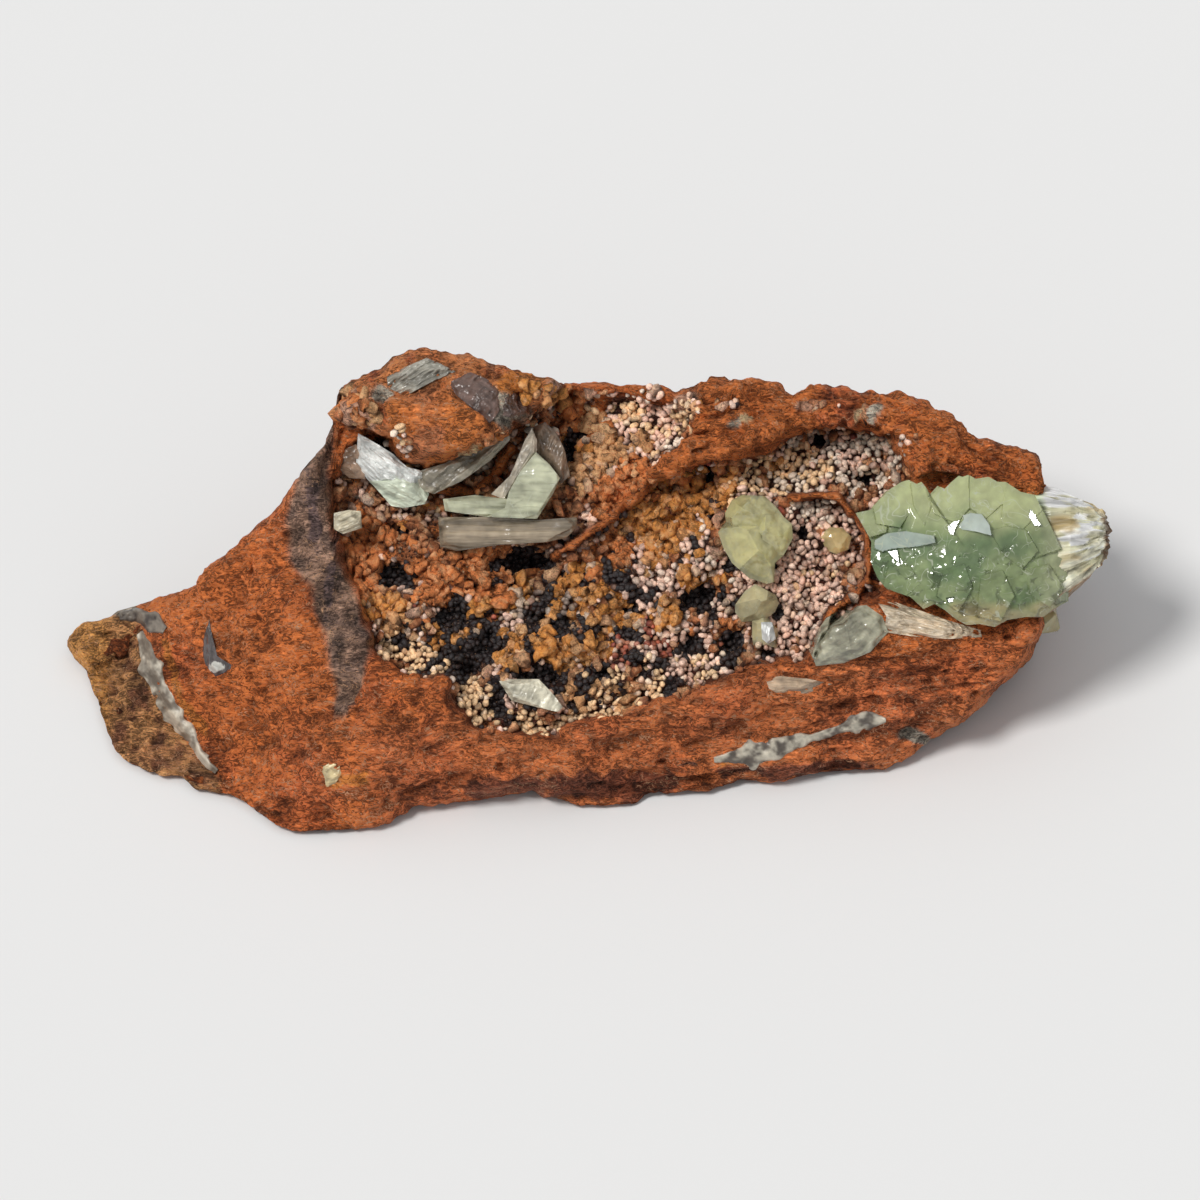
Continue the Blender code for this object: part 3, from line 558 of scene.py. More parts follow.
def makeHealedCracks():
    # thin curved lines where a warped noise crosses its middle, kept to some places by a second noise
    tree, given, result = newGroup("healedCracks", [
        ("Vector", "NodeSocketVector", None), ("Size", "NodeSocketFloat", 300.0), ("Width", "NodeSocketFloat", 0.012),
    ], [("Lines", "NodeSocketFloat")])
    warped = addNode(tree, "ShaderNodeTexNoise", (-600, 150), {
        "Vector": given.outputs["Vector"], "Scale": given.outputs["Size"], "Detail": 1.0, "Roughness": 0.5,
        "Distortion": 1.2,
    }).outputs["Fac"]
    offMiddle = maths(tree, "ABSOLUTE", maths(tree, "SUBTRACT", warped, 0.5, (-400, 150)), 0.0, (-250, 150))
    share = maths(tree, "DIVIDE", offMiddle, given.outputs["Width"], (-100, 150))
    lines = ramp(tree, share, 0.2, 1.0, (100, 150), 1.0, 0.0)
    wide = maths(tree, "MULTIPLY", given.outputs["Size"], 0.8, (-800, -200))
    places = addNode(tree, "ShaderNodeTexNoise", (-600, -200), {
        "Vector": given.outputs["Vector"], "Scale": wide, "Detail": 1.0, "Roughness": 0.5,
    }).outputs["Fac"]
    tree.links.new(maths(tree, "MULTIPLY", lines, ramp(tree, places, 0.50, 0.56, (100, -200)), (400, 0)),
                   result.inputs["Lines"])
    return tree


def useGroup(tree, group, place, inputs):
    node = addNode(tree, "ShaderNodeGroup", place, node_tree=group)
    for key, value in inputs.items():
        if isinstance(value, bpy.types.NodeSocket):
            tree.links.new(value, node.inputs[key])
        else:
            node.inputs[key].default_value = value
    return node.outputs


earthGrain, fibreLines, healedCracks = makeEarthGrain(), makeFibreLines(), makeHealedCracks()


def earthMaterial(name, grains, depth, dust, bump, distance=0.0004, threads=0.0, gloss=1.0, specular=0.3,
                  stretch=(1.0, 1.0, 1.0)):
    # the piece's own tint, broken up by the earth grain, which also paints shade in its low places and highlight on its
    # high ones, with a bump of it
    material, tree, shader, _ = newMaterial(name)
    tint = addNode(tree, "ShaderNodeAttribute", (-900, 200), attribute_name="tint").outputs["Color"]
    grain = useGroup(tree, earthGrain, (-600, 0), {
        "Tint": tint, "Grains": grains, "Depth": depth, "Dust": dust, "Threads": threads, "Gloss": gloss,
        "Stretch": stretch,
    })
    tree.links.new(grain["Colour"], shader.inputs["Base Color"])
    tree.links.new(grain["Roughness"], shader.inputs["Roughness"])
    raised = addNode(tree, "ShaderNodeBump", (-300, -300), {
        "Height": grain["Height"], "Strength": bump, "Distance": distance,
    }).outputs["Normal"]
    tree.links.new(raised, shader.inputs["Normal"])
    shader.inputs["Specular IOR Level"].default_value = specular
    return material


print("node groups ready")


# ---- the druse: tiny balls and crusts that line the cavity

druse = dict(
    spacing=0.54,
    radius=0.285,
    colours=dict(
        pink=paint(226, 190, 172), cream=paint(242, 204, 158), white=paint(240, 224, 206),
        ochre=paint(255, 170, 84), tan=paint(244, 184, 128), orange=paint(220, 132, 74),
        # the near-black kind below is painted shade in the holes and hollows of the floor
        brown=paint(168, 102, 64), deepShade=paint(44, 39, 42), maroon=paint(140, 58, 44), grey=paint(140, 124, 114),
    ),
    crusts=("ochre", "tan", "orange", "brown"),  # these grow together in lumps
    # painted shade: the dark floor between balls and the dark feet of the balls
    gapShade=paint(58, 27, 20),
    outside=[  # patches of crust on the rock round the cavity
        (-24.4, 19.4, 1.5, 2.6, 25), (-6.6, 21.3, 3.0, 1.0, -18), (-11.4, 15.7, 2.2, 0.8, 35), (-4.4, 20.4, 2.4, 1.2, -10),
        (1.6, 20.6, 4.4, 0.7, 0), (8.6, 19.2, 2.0, 1.2, 30), (-19.6, 16.0, 0.5, 1.6, 20), (12.4, 19.6, 1.2, 0.5, 0),
        (22.6, 19.4, 1.6, 0.5, 0), (27.0, 18.7, 1.0, 0.4, 10), (30.6, 15.4, 0.7, 1.0, 0),
    ],
    zones=[
        ("pink", 1.0, (19.5, 2.0, 7.6, 8.0, 0)), ("cream", 0.9, (20.2, 2.6, 3.4, 1.8, 15)),
        ("white", 0.9, (21.8, 8.6, 3.4, 1.4, 0)), ("white", 0.8, (24.0, 13.4, 6.0, 3.8, 0)),
        ("cream", 1.0, (19.0, 12.8, 5.0, 2.2, 15)), ("pink", 0.8, (24.6, 14.2, 5.0, 3.0, 10)),
        ("ochre", 0.8, (15.4, 13.0, 3.4, 1.3, 10)), ("ochre", 1.25, (7.4, 8.4, 5.4, 3.6, 25)),
        ("pink", 1.0, (4.6, 17.8, 4.6, 3.2, 0)), ("white", 1.0, (8.4, 15.4, 2.6, 1.0, 25)),
        ("cream", 0.8, (7.0, 16.6, 3.4, 2.4, 10)), ("orange", 1.0, (-2.4, 18.4, 2.6, 2.4, 0)),
        ("tan", 1.0, (-1.6, 13.2, 3.2, 2.6, 0)), ("tan", 0.9, (1.0, 15.0, 3.6, 3.0, 0)),
        ("orange", 1.0, (3.0, 11.4, 3.6, 2.6, 30)), ("brown", 0.8, (-2.4, 9.8, 2.6, 2.0, 0)),
        ("orange", 1.3, (-14.6, 3.6, 6.4, 3.2, -8)), ("brown", 0.9, (-17.6, 5.2, 3.6, 2.4, 0)),
        ("orange", 1.0, (-23.4, 4.0, 2.2, 5.4, -10)), ("ochre", 1.0, (-22.0, -0.6, 2.2, 1.8, 0)),
        ("pink", 0.7, (-22.0, 11.0, 3.0, 2.0, 0)), ("brown", 0.9, (-23.6, 9.4, 3.0, 3.0, 0)),
        ("cream", 1.1, (-18.4, -5.6, 4.2, 1.6, -18)), ("tan", 0.9, (-20.6, -3.4, 2.6, 2.0, -20)),
        ("ochre", 1.0, (-14.4, -4.0, 2.6, 1.8, 10)), ("pink", 0.8, (-22.6, -3.0, 1.2, 2.6, 10)),
        ("ochre", 1.1, (-7.8, -5.2, 3.2, 1.8, 10)), ("ochre", 1.0, (-8.2, 0.6, 4.4, 1.8, 12)),
        ("ochre", 1.1, (-1.6, 1.2, 3.6, 2.4, 25)), ("orange", 1.2, (0.4, 4.4, 2.6, 2.0, 20)),
        ("ochre", 1.1, (-1.8, -5.4, 3.2, 1.4, 5)), ("grey", 0.9, (-5.6, -0.6, 4.0, 1.4, 10)),
        ("tan", 0.9, (-4.8, -3.2, 3.0, 2.4, 0)), ("cream", 1.2, (-12.2, -10.6, 2.0, 2.0, 0)),
        ("cream", 0.9, (-5.0, -12.4, 7.0, 1.2, 0)), ("cream", 0.8, (-7.0, -12.2, 4.0, 1.4, 0)),
        ("cream", 1.0, (2.4, -9.0, 5.4, 2.8, 15)), ("deepShade", 0.9, (-1.0, -8.6, 4.0, 2.0, 10)),
        ("tan", 0.8, (0.0, -9.6, 4.0, 2.0, 10)), ("maroon", 1.4, (4.0, -4.4, 2.4, 1.8, 10)),
        ("ochre", 1.0, (1.2, -1.6, 2.4, 2.6, 0)), ("ochre", 0.9, (6.6, -1.4, 1.6, 1.6, 0)),
        ("pink", 1.0, (6.6, 1.4, 3.4, 2.2, 15)), ("pink", 1.0, (7.4, -5.4, 4.0, 2.6, 10)),
        ("cream", 0.8, (9.0, -6.8, 3.0, 1.8, 20)), ("ochre", 2.0, (9.6, 2.2, 1.4, 0.9, 0)),
        ("ochre", 2.0, (11.9, 2.6, 0.9, 0.9, 0)), ("orange", 2.0, (12.8, -2.6, 1.3, 0.5, 5)),
        ("pink", 0.9, (9.4, 5.0, 2.0, 3.4, 0)), ("white", 0.8, (9.2, 5.6, 1.4, 2.4, 0)),
        ("ochre", 1.4, (-6.6, 21.3, 3.2, 1.3, -18)), ("cream", 1.3, (-11.4, 15.7, 2.4, 1.0, 35)),
        ("tan", 1.1, (-24.4, 19.4, 1.6, 2.8, 25)), ("orange", 1.3, (-24.0, 18.0, 1.4, 1.9, 25)),
        ("cream", 1.2, (2.6, 18.6, 3.0, 1.6, 0)), ("tan", 1.2, (-0.6, 16.4, 2.4, 2.0, 0)),
        ("ochre", 1.2, (-2.6, 15.8, 1.4, 1.2, 0)), ("white", 1.2, (3.6, 20.4, 1.4, 0.5, 0)),
    ],
)


def druseShares(u, v):
    # how strongly each kind claims the place: its zones, ragged, and broken up by its own noise
    names = list(druse["colours"])
    at = flat(u, v)
    wobbles = [layeredNoise(at, 1.6, 3, 50 + k) for k in range(3)]
    strength = np.zeros((len(names),) + np.shape(u))
    strength[names.index("brown")] = 0.3
    strength[names.index("pink")] = 0.25
    for name, weight, patch in druse["zones"]:
        k = names.index(name)
        strength[k] = np.maximum(strength[k], weight * patchMask(u, v, patch, wobbles[k % 3]))
    for k, name in enumerate(names):
        strength[k] = strength[k] * (1 + 0.9 * valueNoise(at, 1.5, 20 + k)) + 0.22 * valueNoise(at, 0.9, 40 + k)
    holes = np.zeros(np.shape(u))
    for cu, cv, ru, rv, depth in rock["holes"]:
        holes = np.maximum(holes, patchMask(u, v, (cu, cv, ru, rv, 0), wobbles[0], 0.5))
    # the holes, and ragged patches between the crusts of the lower middle, get the near-black kind: painted shade in
    # the hollows of the floor
    shadePatches = patchMask(u, v, (-4.0, -4.0, 17.0, 8.4, 8), wobbles[1]) * smooth((layeredNoise(at, 1.8, 3, 77) - 0.24) / 0.12)
    strength[names.index("deepShade")] = np.maximum(strength[names.index("deepShade")], np.maximum(2.4 * holes, 1.7 * shadePatches))
    return strength


def floorTint(u, v):
    # crusts show their own colour, made a little darker as painted shade; between separate balls the floor is painted
    # dark as shade, and in the hollows near black as shade
    names = list(druse["colours"])
    strength = druseShares(u, v)
    crusts = [names.index(name) for name in druse["crusts"]]
    others = [k for k in range(len(names)) if k not in crusts]
    crust = smooth((strength[crusts].max(axis=0) - strength[others].max(axis=0)) / 0.3 + 0.5)
    colour = np.array([druse["colours"][n] for n in names])[strength.argmax(axis=0)]
    deepShade = smooth(strength[names.index("deepShade")] - 0.9)
    return mix(mix(druse["gapShade"], colour * 0.72, crust), druse["colours"]["deepShade"] * 0.5, deepShade)


def bead():
    # a ball from rings at set angles below its top, closed underneath
    sides, angles = 7, np.radians([36, 72, 112])
    turn = np.arange(sides) * 2 * math.pi / sides
    rings = [np.array([[0.0, 0.0, 1.0]])]
    for k, angle in enumerate(angles):
        at = turn + k * math.pi / sides
        rings.append(np.stack([np.sin(angle) * np.cos(at), np.sin(angle) * np.sin(at),
                               np.full(sides, np.cos(angle))], axis=-1))
    points = np.concatenate(rings + [np.array([[0.0, 0.0, -0.75]])])
    j = np.arange(sides)
    k = (j + 1) % sides
    faces = [np.stack([0 * j, 1 + j, 1 + k], axis=-1)]
    for ring in range(len(angles) - 1):
        here, below = 1 + ring * sides, 1 + (ring + 1) * sides
        faces.append(np.stack([here + j, below + j, here + k], axis=-1))
        faces.append(np.stack([here + k, below + j, below + k], axis=-1))
    end = 1 + (len(angles) - 1) * sides
    faces.append(np.stack([end + j, np.full(sides, len(points) - 1), end + k], axis=-1))
    return points, np.concatenate(faces)


def plantBeads(name, u, v, lift, radius, colour, material, stretch, ragged):
    # one ball for each (u, v): its centre stands lift radii out of the skin, along the skin's
    # normal, and noise pushes its surface in and out by the ragged share of its radius
    step = 0.12
    here = fromHeight(u, v, skinHeight(u, v))
    right = fromHeight(u + step, v, skinHeight(u + step, v)) - here
    up = fromHeight(u, v + step, skinHeight(u, v + step)) - here
    normal = np.cross(right, up)
    normal /= np.linalg.norm(normal, axis=-1, keepdims=True)
    lying = normal + 0.35 * dice.normal(size=normal.shape)
    normal = lying / np.linalg.norm(lying, axis=-1, keepdims=True)
    side = np.cross(normal, dice.normal(size=normal.shape))
    side /= np.linalg.norm(side, axis=-1, keepdims=True)
    other = np.cross(normal, side)
    points, faces = bead()
    spread = points[None, :, 0, None] * side[:, None] * stretch[:, None, None]
    spread = spread + points[None, :, 1, None] * other[:, None] + points[None, :, 2, None] * normal[:, None]
    centre = here + normal * (lift * radius)[:, None]
    made = centre[:, None] + spread * radius[:, None, None]
    lumps = valueNoise(made, 0.36, 3) + 0.6 * valueNoise(made, 0.19, 5)
    made = centre[:, None] + (made - centre[:, None]) * (1 + ragged * lumps[..., None])
    index = (np.arange(len(u)) * len(points))[:, None, None] + faces[None]
    tint = np.repeat(colour, len(points), axis=0)
    height = np.tile(points[:, 2], len(u)) + 0.5 * lumps.ravel()
    # each ball is painted darker towards its foot as shade and paler on top as highlight; crust lumps get cream tips as
    # painted highlight
    tint = mix(0.24 * tint + 0.40 * druse["gapShade"], (1.02 + 1.15 * ragged) * tint, smooth((height + 0.30) / 1.15))
    tips = smooth((height - 0.65) / 0.5) * ragged * 0.8
    tint = mix(tint, druse["colours"]["cream"], tips * (tint.max(axis=-1) > 0.2))
    piece = addPiece(name, made.reshape(-1, 3), [index.reshape(-1, 3)], material, limit(tint, 1.0))
    print(name + ":", len(u), "balls")


def growBeads(name, u, v, balls, crusts, lifted):
    # the ball's kind is the strongest at its place; crust lumps sit deeper, vary more and are ragged
    names = list(druse["colours"])
    strength = druseShares(u, v)
    kind = (strength + 0.35 * dice.random(strength.shape)).argmax(axis=0)
    colour = np.array([druse["colours"][n] for n in names])[kind]
    crust = np.isin(kind, [names.index(n) for n in druse["crusts"]])
    deepShade = kind == names.index("deepShade")
    colour = colour * (0.62 + 0.66 * dice.random(len(u)))[:, None]
    towards = np.array([druse["colours"][n] for n in ("cream", "white", "brown")])[dice.integers(0, 3, len(u))]
    rusty = kind == names.index("orange")
    colour = mix(colour, towards, np.where(deepShade | rusty, 0.0, 0.40 * dice.random(len(u)) ** 2))
    # balls in the upper cavity are painted paler: painted light making up for the shade of the knob and rim there
    colour = colour * np.where(deepShade, 1, 1 + 0.55 * smooth((v - 10.5) / 3.0) * smooth((14 - u) / 3.0) * smooth((u + 8) / 2))[:, None]
    pale = (dice.random(len(u)) > 0.95) & ~deepShade & ~rusty
    colour = np.where(pale[:, None], mix(colour, druse["colours"]["white"], 0.6), colour)
    radius = druse["radius"] * dice.uniform(0.78, 1.42, len(u))
    # in ragged gaps between crust lumps, small lumps painted dark stand for shade
    shadedGaps = np.abs(layeredNoise(flat(u, v, 6.0), 1.5, 2, 14)) < 0.10
    radius = np.where(crust, radius * np.where(shadedGaps, 0.45, dice.uniform(1.0, 1.9, len(u))), radius)
    colour = np.where((crust & shadedGaps)[:, None], 0.25 * colour, colour)
    # near-black balls sit lower and are painted darker still: painted shade in the hollows
    radius = np.where(deepShade, radius * 0.95, radius)
    colour = np.where(deepShade[:, None], 0.6 * colour, colour)
    lift = np.where(crust, 0.05, np.where(deepShade, 0.15, 0.45)) + lifted
    stretch = dice.uniform(1.0, 1.6, len(u))
    for word, some, material, ragged in (("Balls", ~crust, balls, 0.16), ("Crust", crust, crusts, 0.62)):
        plantBeads(name + word, u[some], v[some], lift[some], radius[some], colour[some], material, stretch[some], ragged)


def makeDruse():
    step = druse["spacing"]
    u, v = np.meshgrid(np.arange(-27.5, 31.5, step), np.arange(-14.5, 21.4, step * 0.87))
    u = u + np.where(np.arange(u.shape[0])[:, None] % 2, step / 2, 0)
    u, v = u.ravel(), v.ravel()
    u, v = u + dice.uniform(-0.17, 0.17, u.size), v + dice.uniform(-0.17, 0.17, u.size)
    crusted = np.max([patchMask(u, v, patch, 0.7 * valueNoise(flat(u, v), 1.0, 3)) for patch in druse["outside"]], axis=0)
    keep = (np.maximum(cavityShare(u, v), crusted) > 0.30 + 0.35 * dice.random(u.size)) & (wallShare(u, v) < 0.5)
    keep &= v < np.interp(u, *np.array(rock["upperOutline"]).T) - 0.45
    keep &= (jointShare(u, v) > 1.02) & (dice.random(u.size) > 0.05)
    feet = [lobe["outline"] for stone in stones.values() for lobe in stone["lobes"]] + [cluster["outline"]]
    for outline in feet:
        keep &= insideDistance(u, v, outline) < 0.3
    u, v = u[keep], v[keep]
    balls = earthMaterial("druseBalls", 3600.0, 0.30, 0.25, 0.35, 0.0003, 0.0, 0.62, 0.5)
    crusts = earthMaterial("ochreCrust", 2600.0, 0.38, 0.25, 0.9, 0.0006, 0.1, 0.85, 0.35)
    growBeads("floor", u, v, balls, crusts, 0.0)
    clump = valueNoise(flat(u, v, 5.0), 1.0, 4) + 0.6 * dice.random(u.size)
    top = clump > 0.5
    u2, v2 = u[top] + dice.uniform(-0.25, 0.25, top.sum()), v[top] + dice.uniform(-0.25, 0.25, top.sum())
    growBeads("crest", u2, v2, balls, crusts, 1.1)


# ---- the rock, painted by its fracture faces and patches

rockPaint = dict(
    orangeFelt=paint(192, 106, 54), brownFelt=paint(160, 84, 46), front=paint(164, 88, 50),
    frontLight=paint(204, 116, 66), joint=paint(132, 104, 88), jointDark=paint(92, 74, 66),
    lobe=paint(180, 130, 84), lobeDark=paint(112, 72, 50), lobeTip=paint(206, 146, 82),
    rim=paint(212, 120, 62), rimDark=paint(140, 72, 42), ochre=paint(206, 126, 60),
    deepShade=paint(26, 23, 24), shade=paint(108, 58, 38),
    wall=paint(240, 138, 74), cream=paint(222, 192, 150), grey=paint(140, 132, 120),
    knob=paint(214, 134, 82), facet=paint(232, 136, 70), facetBrown=paint(176, 108, 70),
    crustPink=paint(206, 158, 132), plum=paint(84, 68, 66),
    patches=[
        ("grey", (-21.6, 20.2, 1.1, 0.8, 0)), ("grey", (-9.2, 19.6, 2.6, 2.0, -20)),
        ("cream", (-11.2, 14.9, 1.8, 0.7, 20)), ("ochre", (-7.0, 21.6, 2.0, 1.0, -10)),
        ("ochre", (-5.4, 18.0, 0.8, 1.0, 0)), ("ochre", (-42.6, -7.4, 0.5, 2.6, 15)),
        ("ochre", (-40.4, -11.8, 0.5, 2.0, 35)), ("ochre", (-25.0, -17.9, 1.6, 0.7, 0)),
        ("ochre", (14.0, -16.4, 1.6, 0.6, 10)), ("grey", (31.4, -13.8, 1.4, 0.6, -10)),
        ("grey", (13.2, 17.6, 0.8, 0.5, 20)), ("cream", (14.6, 18.0, 0.6, 0.4, 0)),
        ("cream", (26.0, 18.8, 0.7, 0.4, 30)), ("grey", (-48.0, -0.6, 1.3, 0.9, 0)),
        # the near-black streak low on the front is painted shadow where the front turns under
        ("deepShade", (8.6, -16.2, 0.9, 0.35, 5)), ("facetBrown", (-17.2, 15.4, 1.9, 1.9, 0)),
        ("joint", (9.0, 19.2, 1.6, 1.4, 30)), ("shade", (1.0, -18.6, 7.0, 1.6, 0)),
        ("shade", (-10.0, -18.6, 6.0, 1.0, 5)), ("shade", (20.0, -16.8, 7.0, 0.7, 3)),
        ("cream", (-12.2, 15.6, 1.9, 0.8, 35)), ("ochre", (-8.6, 21.4, 2.2, 1.3, -20)),
        ("plum", (-28.6, 8.4, 0.7, 4.4, 6)), ("plum", (-27.0, 1.6, 0.5, 4.6, -6)),
        ("crustPink", (-23.6, 18.4, 1.4, 1.6, 30)),
        ("crustPink", (-5.0, 21.0, 1.0, 0.8, 0)), ("crustPink", (20.4, 19.4, 1.4, 0.6, 0)),
        ("crustPink", (8.6, 19.6, 1.2, 0.6, 0)), ("grey", (27.6, 18.9, 1.0, 0.5, 20)),
        ("rimDark", (-8.0, 19.8, 1.3, 1.2, 0)), ("ochre", (-11.6, 15.8, 1.6, 0.8, 35)),
    ],
)


def rockTint(u, v, front, bump):
    # colour of the skin by place; bump is the surface's own relief, which gives painted highlight on its raised places
    # and painted shade in its pits and crevices
    c = rockPaint
    at = flat(u, v, 2.0)
    slow, quick_ = layeredNoise(at, 6.0, 3, 3), layeredNoise(at, 1.2, 3, 6)
    tone = mix(c["orangeFelt"], c["brownFelt"], smooth(0.45 + 0.7 * slow + 0.35 * quick_))
    show = plane(u, v, rock["showFace"])
    frontShare = smooth((show - plane(u, v, rock["frontFace"]) + 0.6 + 0.6 * slow) / 1.6) * smooth((u + 27 + 3 * slow) / 6)
    tone = mix(tone, mix(c["front"], c["frontLight"], smooth(0.5 + 0.8 * slow)), frontShare)
    rimShare = smooth(insideDistance(u, v, rock["rim"][2]) / 1.2 + 0.5)
    tone = mix(tone, mix(c["rim"], c["rimDark"], smooth(0.3 + 0.9 * slow + 0.5 * quick_)), rimShare)
    knobShare = smooth(insideDistance(u, v, rock["knob"][2]) / 1.2 + 0.5)
    tone = mix(tone, mix(c["knob"], c["rimDark"], smooth(0.2 + 0.8 * quick_)), knobShare)
    onFacet = smooth(insideDistance(u, v, rock["facet"][2]) / 0.4 + 0.3)
    tone = mix(tone, mix(c["facet"], c["facetBrown"], smooth(0.3 + 0.8 * slow)), onFacet)
    lobeShare = smooth(insideDistance(u, v, rock["lobe"][2]) / 0.8 + 0.5)
    tone = mix(tone, mix(c["lobe"], c["lobeDark"], smooth(0.4 + 0.9 * quick_)), lobeShare)
    tone = mix(tone, c["lobeTip"], lobeShare * smooth((-48.6 - u) / 1.5))
    across = jointShare(u, v)
    inJoint = smooth((across + 0.1) / 0.25) * smooth((1.1 - across) / 0.25) * smooth((v + 12.5) / 1.5)
    tone = mix(tone, mix(c["joint"], c["jointDark"], smooth(0.4 + 0.9 * quick_)), inJoint)
    wobble = layeredNoise(at, 1.4, 3, 3)
    for name, patch in c["patches"]:
        tone = mix(tone, c[name], patchMask(u, v, patch, wobble))
    inCavity = cavityShare(u, v)
    deep = inCavity > 0.01
    floor = np.zeros(np.shape(u) + (3,))
    floor[deep] = floorTint(u[deep], v[deep])
    tone = mix(tone, floor, inCavity)
    tone = mix(tone, c["wall"], wallShare(u, v) * inCavity)
    # painted highlight and painted shade from the relief
    tone = tone * (1.96 + 1.30 * np.clip(bump, -0.78, 0.8))[..., None]
    return np.where(front[..., None], tone, mix(c["brownFelt"], c["orangeFelt"], smooth(0.4 + slow)) * (1 + 0.4 * bump[..., None]))


def seated(u, v):
    # 1 under the stones and veins that lie on the skin, where the rock's relief has to stay low
    share = np.zeros(np.shape(u))
    for stone in stones.values():
        for lobe in stone["lobes"]:
            if "t" not in lobe:
                share = np.maximum(share, smooth(insideDistance(u, v, lobe["outline"]) / 0.5 + 1.0))
    for vein in veins.values():
        line = np.array(vein["path"])
        away, _ = pathDistance(u, v, line[:, :2])
        share = np.maximum(share, smooth(1.6 - away / (line[:, 2].max() * 0.8)))
    return share


def makeRock():
    first, last = rock["upperOutline"][0][0], rock["upperOutline"][-1][0]
    even = np.linspace(0, 1, rock["stations"] + 2)[1:-1]
    u = (first + (last - first) * (0.75 * even + 0.25 * (1 - np.cos(math.pi * even)) / 2))[:, None]
    line = np.linspace(0, 1, rock["frontRows"] + 1)
    frontShare = 0.3 * (1 - np.cos(math.pi * line)) / 2 + 0.7 * line
    line = np.linspace(0, 1, rock["backRows"] + 1)[1:-1]
    backShare = 1 - (0.5 * (1 - np.cos(math.pi * line)) / 2 + 0.5 * line)
    us, vs, zs, isFront = [], [], [], []
    for share, front in ((frontShare, True), (backShare, False)):
        grid = u + 0 * share[None, :]
        v, z = rockSheet(grid, share[None, :] + 0 * u, front)
        us.append(grid)
        vs.append(v)
        zs.append(z)
        isFront.append(np.full(grid.shape, front))
    u, v, z, front = [np.concatenate(part, axis=1) for part in (us, vs, zs, isFront)]
    points = fromHeight(u, v, z)
    normal = sheetNormals(points)
    if (normal[200, 80] * np.array([0, -cosLean, sinLean])).sum() < 0:
        normal = -normal
    crumbs = 0.5 * layeredNoise(points, 1.3, 3, 2) + 0.5 * (0.45 - cellNoise(points, 0.9, 6))
    grit = layeredNoise(points, 0.75, 2, 31)
    crags = layeredNoise(points, 5.5, 3, 1)
    across = v - np.interp(u, *np.array(rock["rimLine"]).T) + 0.7 * layeredNoise(flat(u, v), 3.0, 2, 4)
    ledges = 1 - 2 * np.abs(layeredNoise(flat(u * 0.24, across, 6.0), 1.5, 3, 8))
    streaks = 1 - 2 * np.abs(layeredNoise(flat(0.5 * u + 0.4 * v, 0.8 * v - 0.35 * u, 7.0), 1.9, 3, 9))
    # long ridges and furrows run along the front face, which is the lower right of the picture
    bands = 0.6 - 2 * np.abs(layeredNoise(flat(0.16 * u, v - 0.10 * u, 3.0), 1.5, 3, 12))
    below = plane(u, v, rock["showFace"]) - plane(u, v, rock["frontFace"])
    frontShare2 = np.where(front, smooth(below / 2 + 0.7) * smooth((u + 22) / 12), 0)
    facetShare = np.where(front, smooth(insideDistance(u, v, rock["facet"][2]) / 0.5 + 0.2), 0)
    knobShare = np.where(front, smooth(insideDistance(u, v, rock["knob"][2]) / 1.5 + 0.5), 0) * (1 - facetShare)
    open_ = np.where(front, cavityShare(u, v), 0)
    rimShare = np.where(front, smooth(insideDistance(u, v, rock["rim"][2]) / 1.5 + 0.5), 0.4)
    lobeShare = np.where(front, smooth(insideDistance(u, v, rock["lobe"][2]) / 0.8 + 0.5), 0)
    pitting = -smooth((0.42 - cellNoise(points, 1.25, 3)) / 0.25)
    across = jointShare(u, v)
    calm = np.where(front, smooth((across + 0.1) / 0.3) * smooth((1.1 - across) / 0.3), 0)
    rough = np.maximum(rimShare, knobShare)
    rise = 0.50 * crags + (0.42 + 0.60 * rough) * crumbs * (1 - 0.6 * np.maximum(calm, facetShare))
    rise = rise + 0.95 * rimShare * ledges + 0.42 * (1 - rimShare) * (1 - calm) * streaks
    rise = rise + 0.45 * frontShare2 * (1 - calm) * bands
    # small pores, in some places only; the tint paints them dark as shade
    pores = -smooth((0.27 - cellNoise(points, 1.9, 21)) / 0.14) * smooth(valueNoise(points, 2.2, 22) / 0.3 - 0.3)
    rise = rise + 0.40 * pores + 0.12 * grit
    rise = rise + 0.55 * lobeShare * pitting * smooth(0.7 + valueNoise(points, 2.6, 5))
    # the outline stays as drawn: relief fades towards it
    margin = np.minimum(v - np.interp(u, *np.array(rock["lowerOutline"]).T),
                        np.interp(u, *np.array(rock["upperOutline"]).T) - v)
    rise = rise * (1 - open_) * (0.55 + 0.45 * smooth(margin / 2.5)) * np.where(front, 1 - 0.85 * seated(u, v), 1)
    points = points + normal * rise[..., None]
    points[..., 2] = np.maximum(points[..., 2], 0)
    # relief sets the tint's painted highlight on raised places and painted shade in pits, pores and crevices
    relief = (1.0 + 1.1 * rough) * crumbs + (0.5 + 0.5 * rough) * grit + 1.3 * rimShare * (ledges - 0.45) + 0.9 * lobeShare * pitting
    relief = relief + 0.8 * (1 - rimShare) * (streaks - 0.5) + 0.9 * frontShare2 * bands + 1.3 * pores
    relief = relief * (1 - open_)
    tint = limit(rockTint(u, v, front, relief), 0.9)
    tips = []
    for tipU, tipV in (rock["upperOutline"][0], rock["upperOutline"][-1]):
        tips.append(fromHeight(np.array(tipU), np.array(tipV), 0.5 * skinHeight(np.array(tipU), np.array(tipV))))
    material = earthMaterial("rustyLimonite", 1900.0, 0.60, 0.35, 1.0, 0.0014, 0.9, 1.0, 0.3, (0.5, 1.15, 1.0))
    piece = closedSheet("limoniteRock", points, material, tips, tint)
    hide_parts("matrix")
    print("rock:", len(piece.data.polygons), "faces")


# ---- crystals

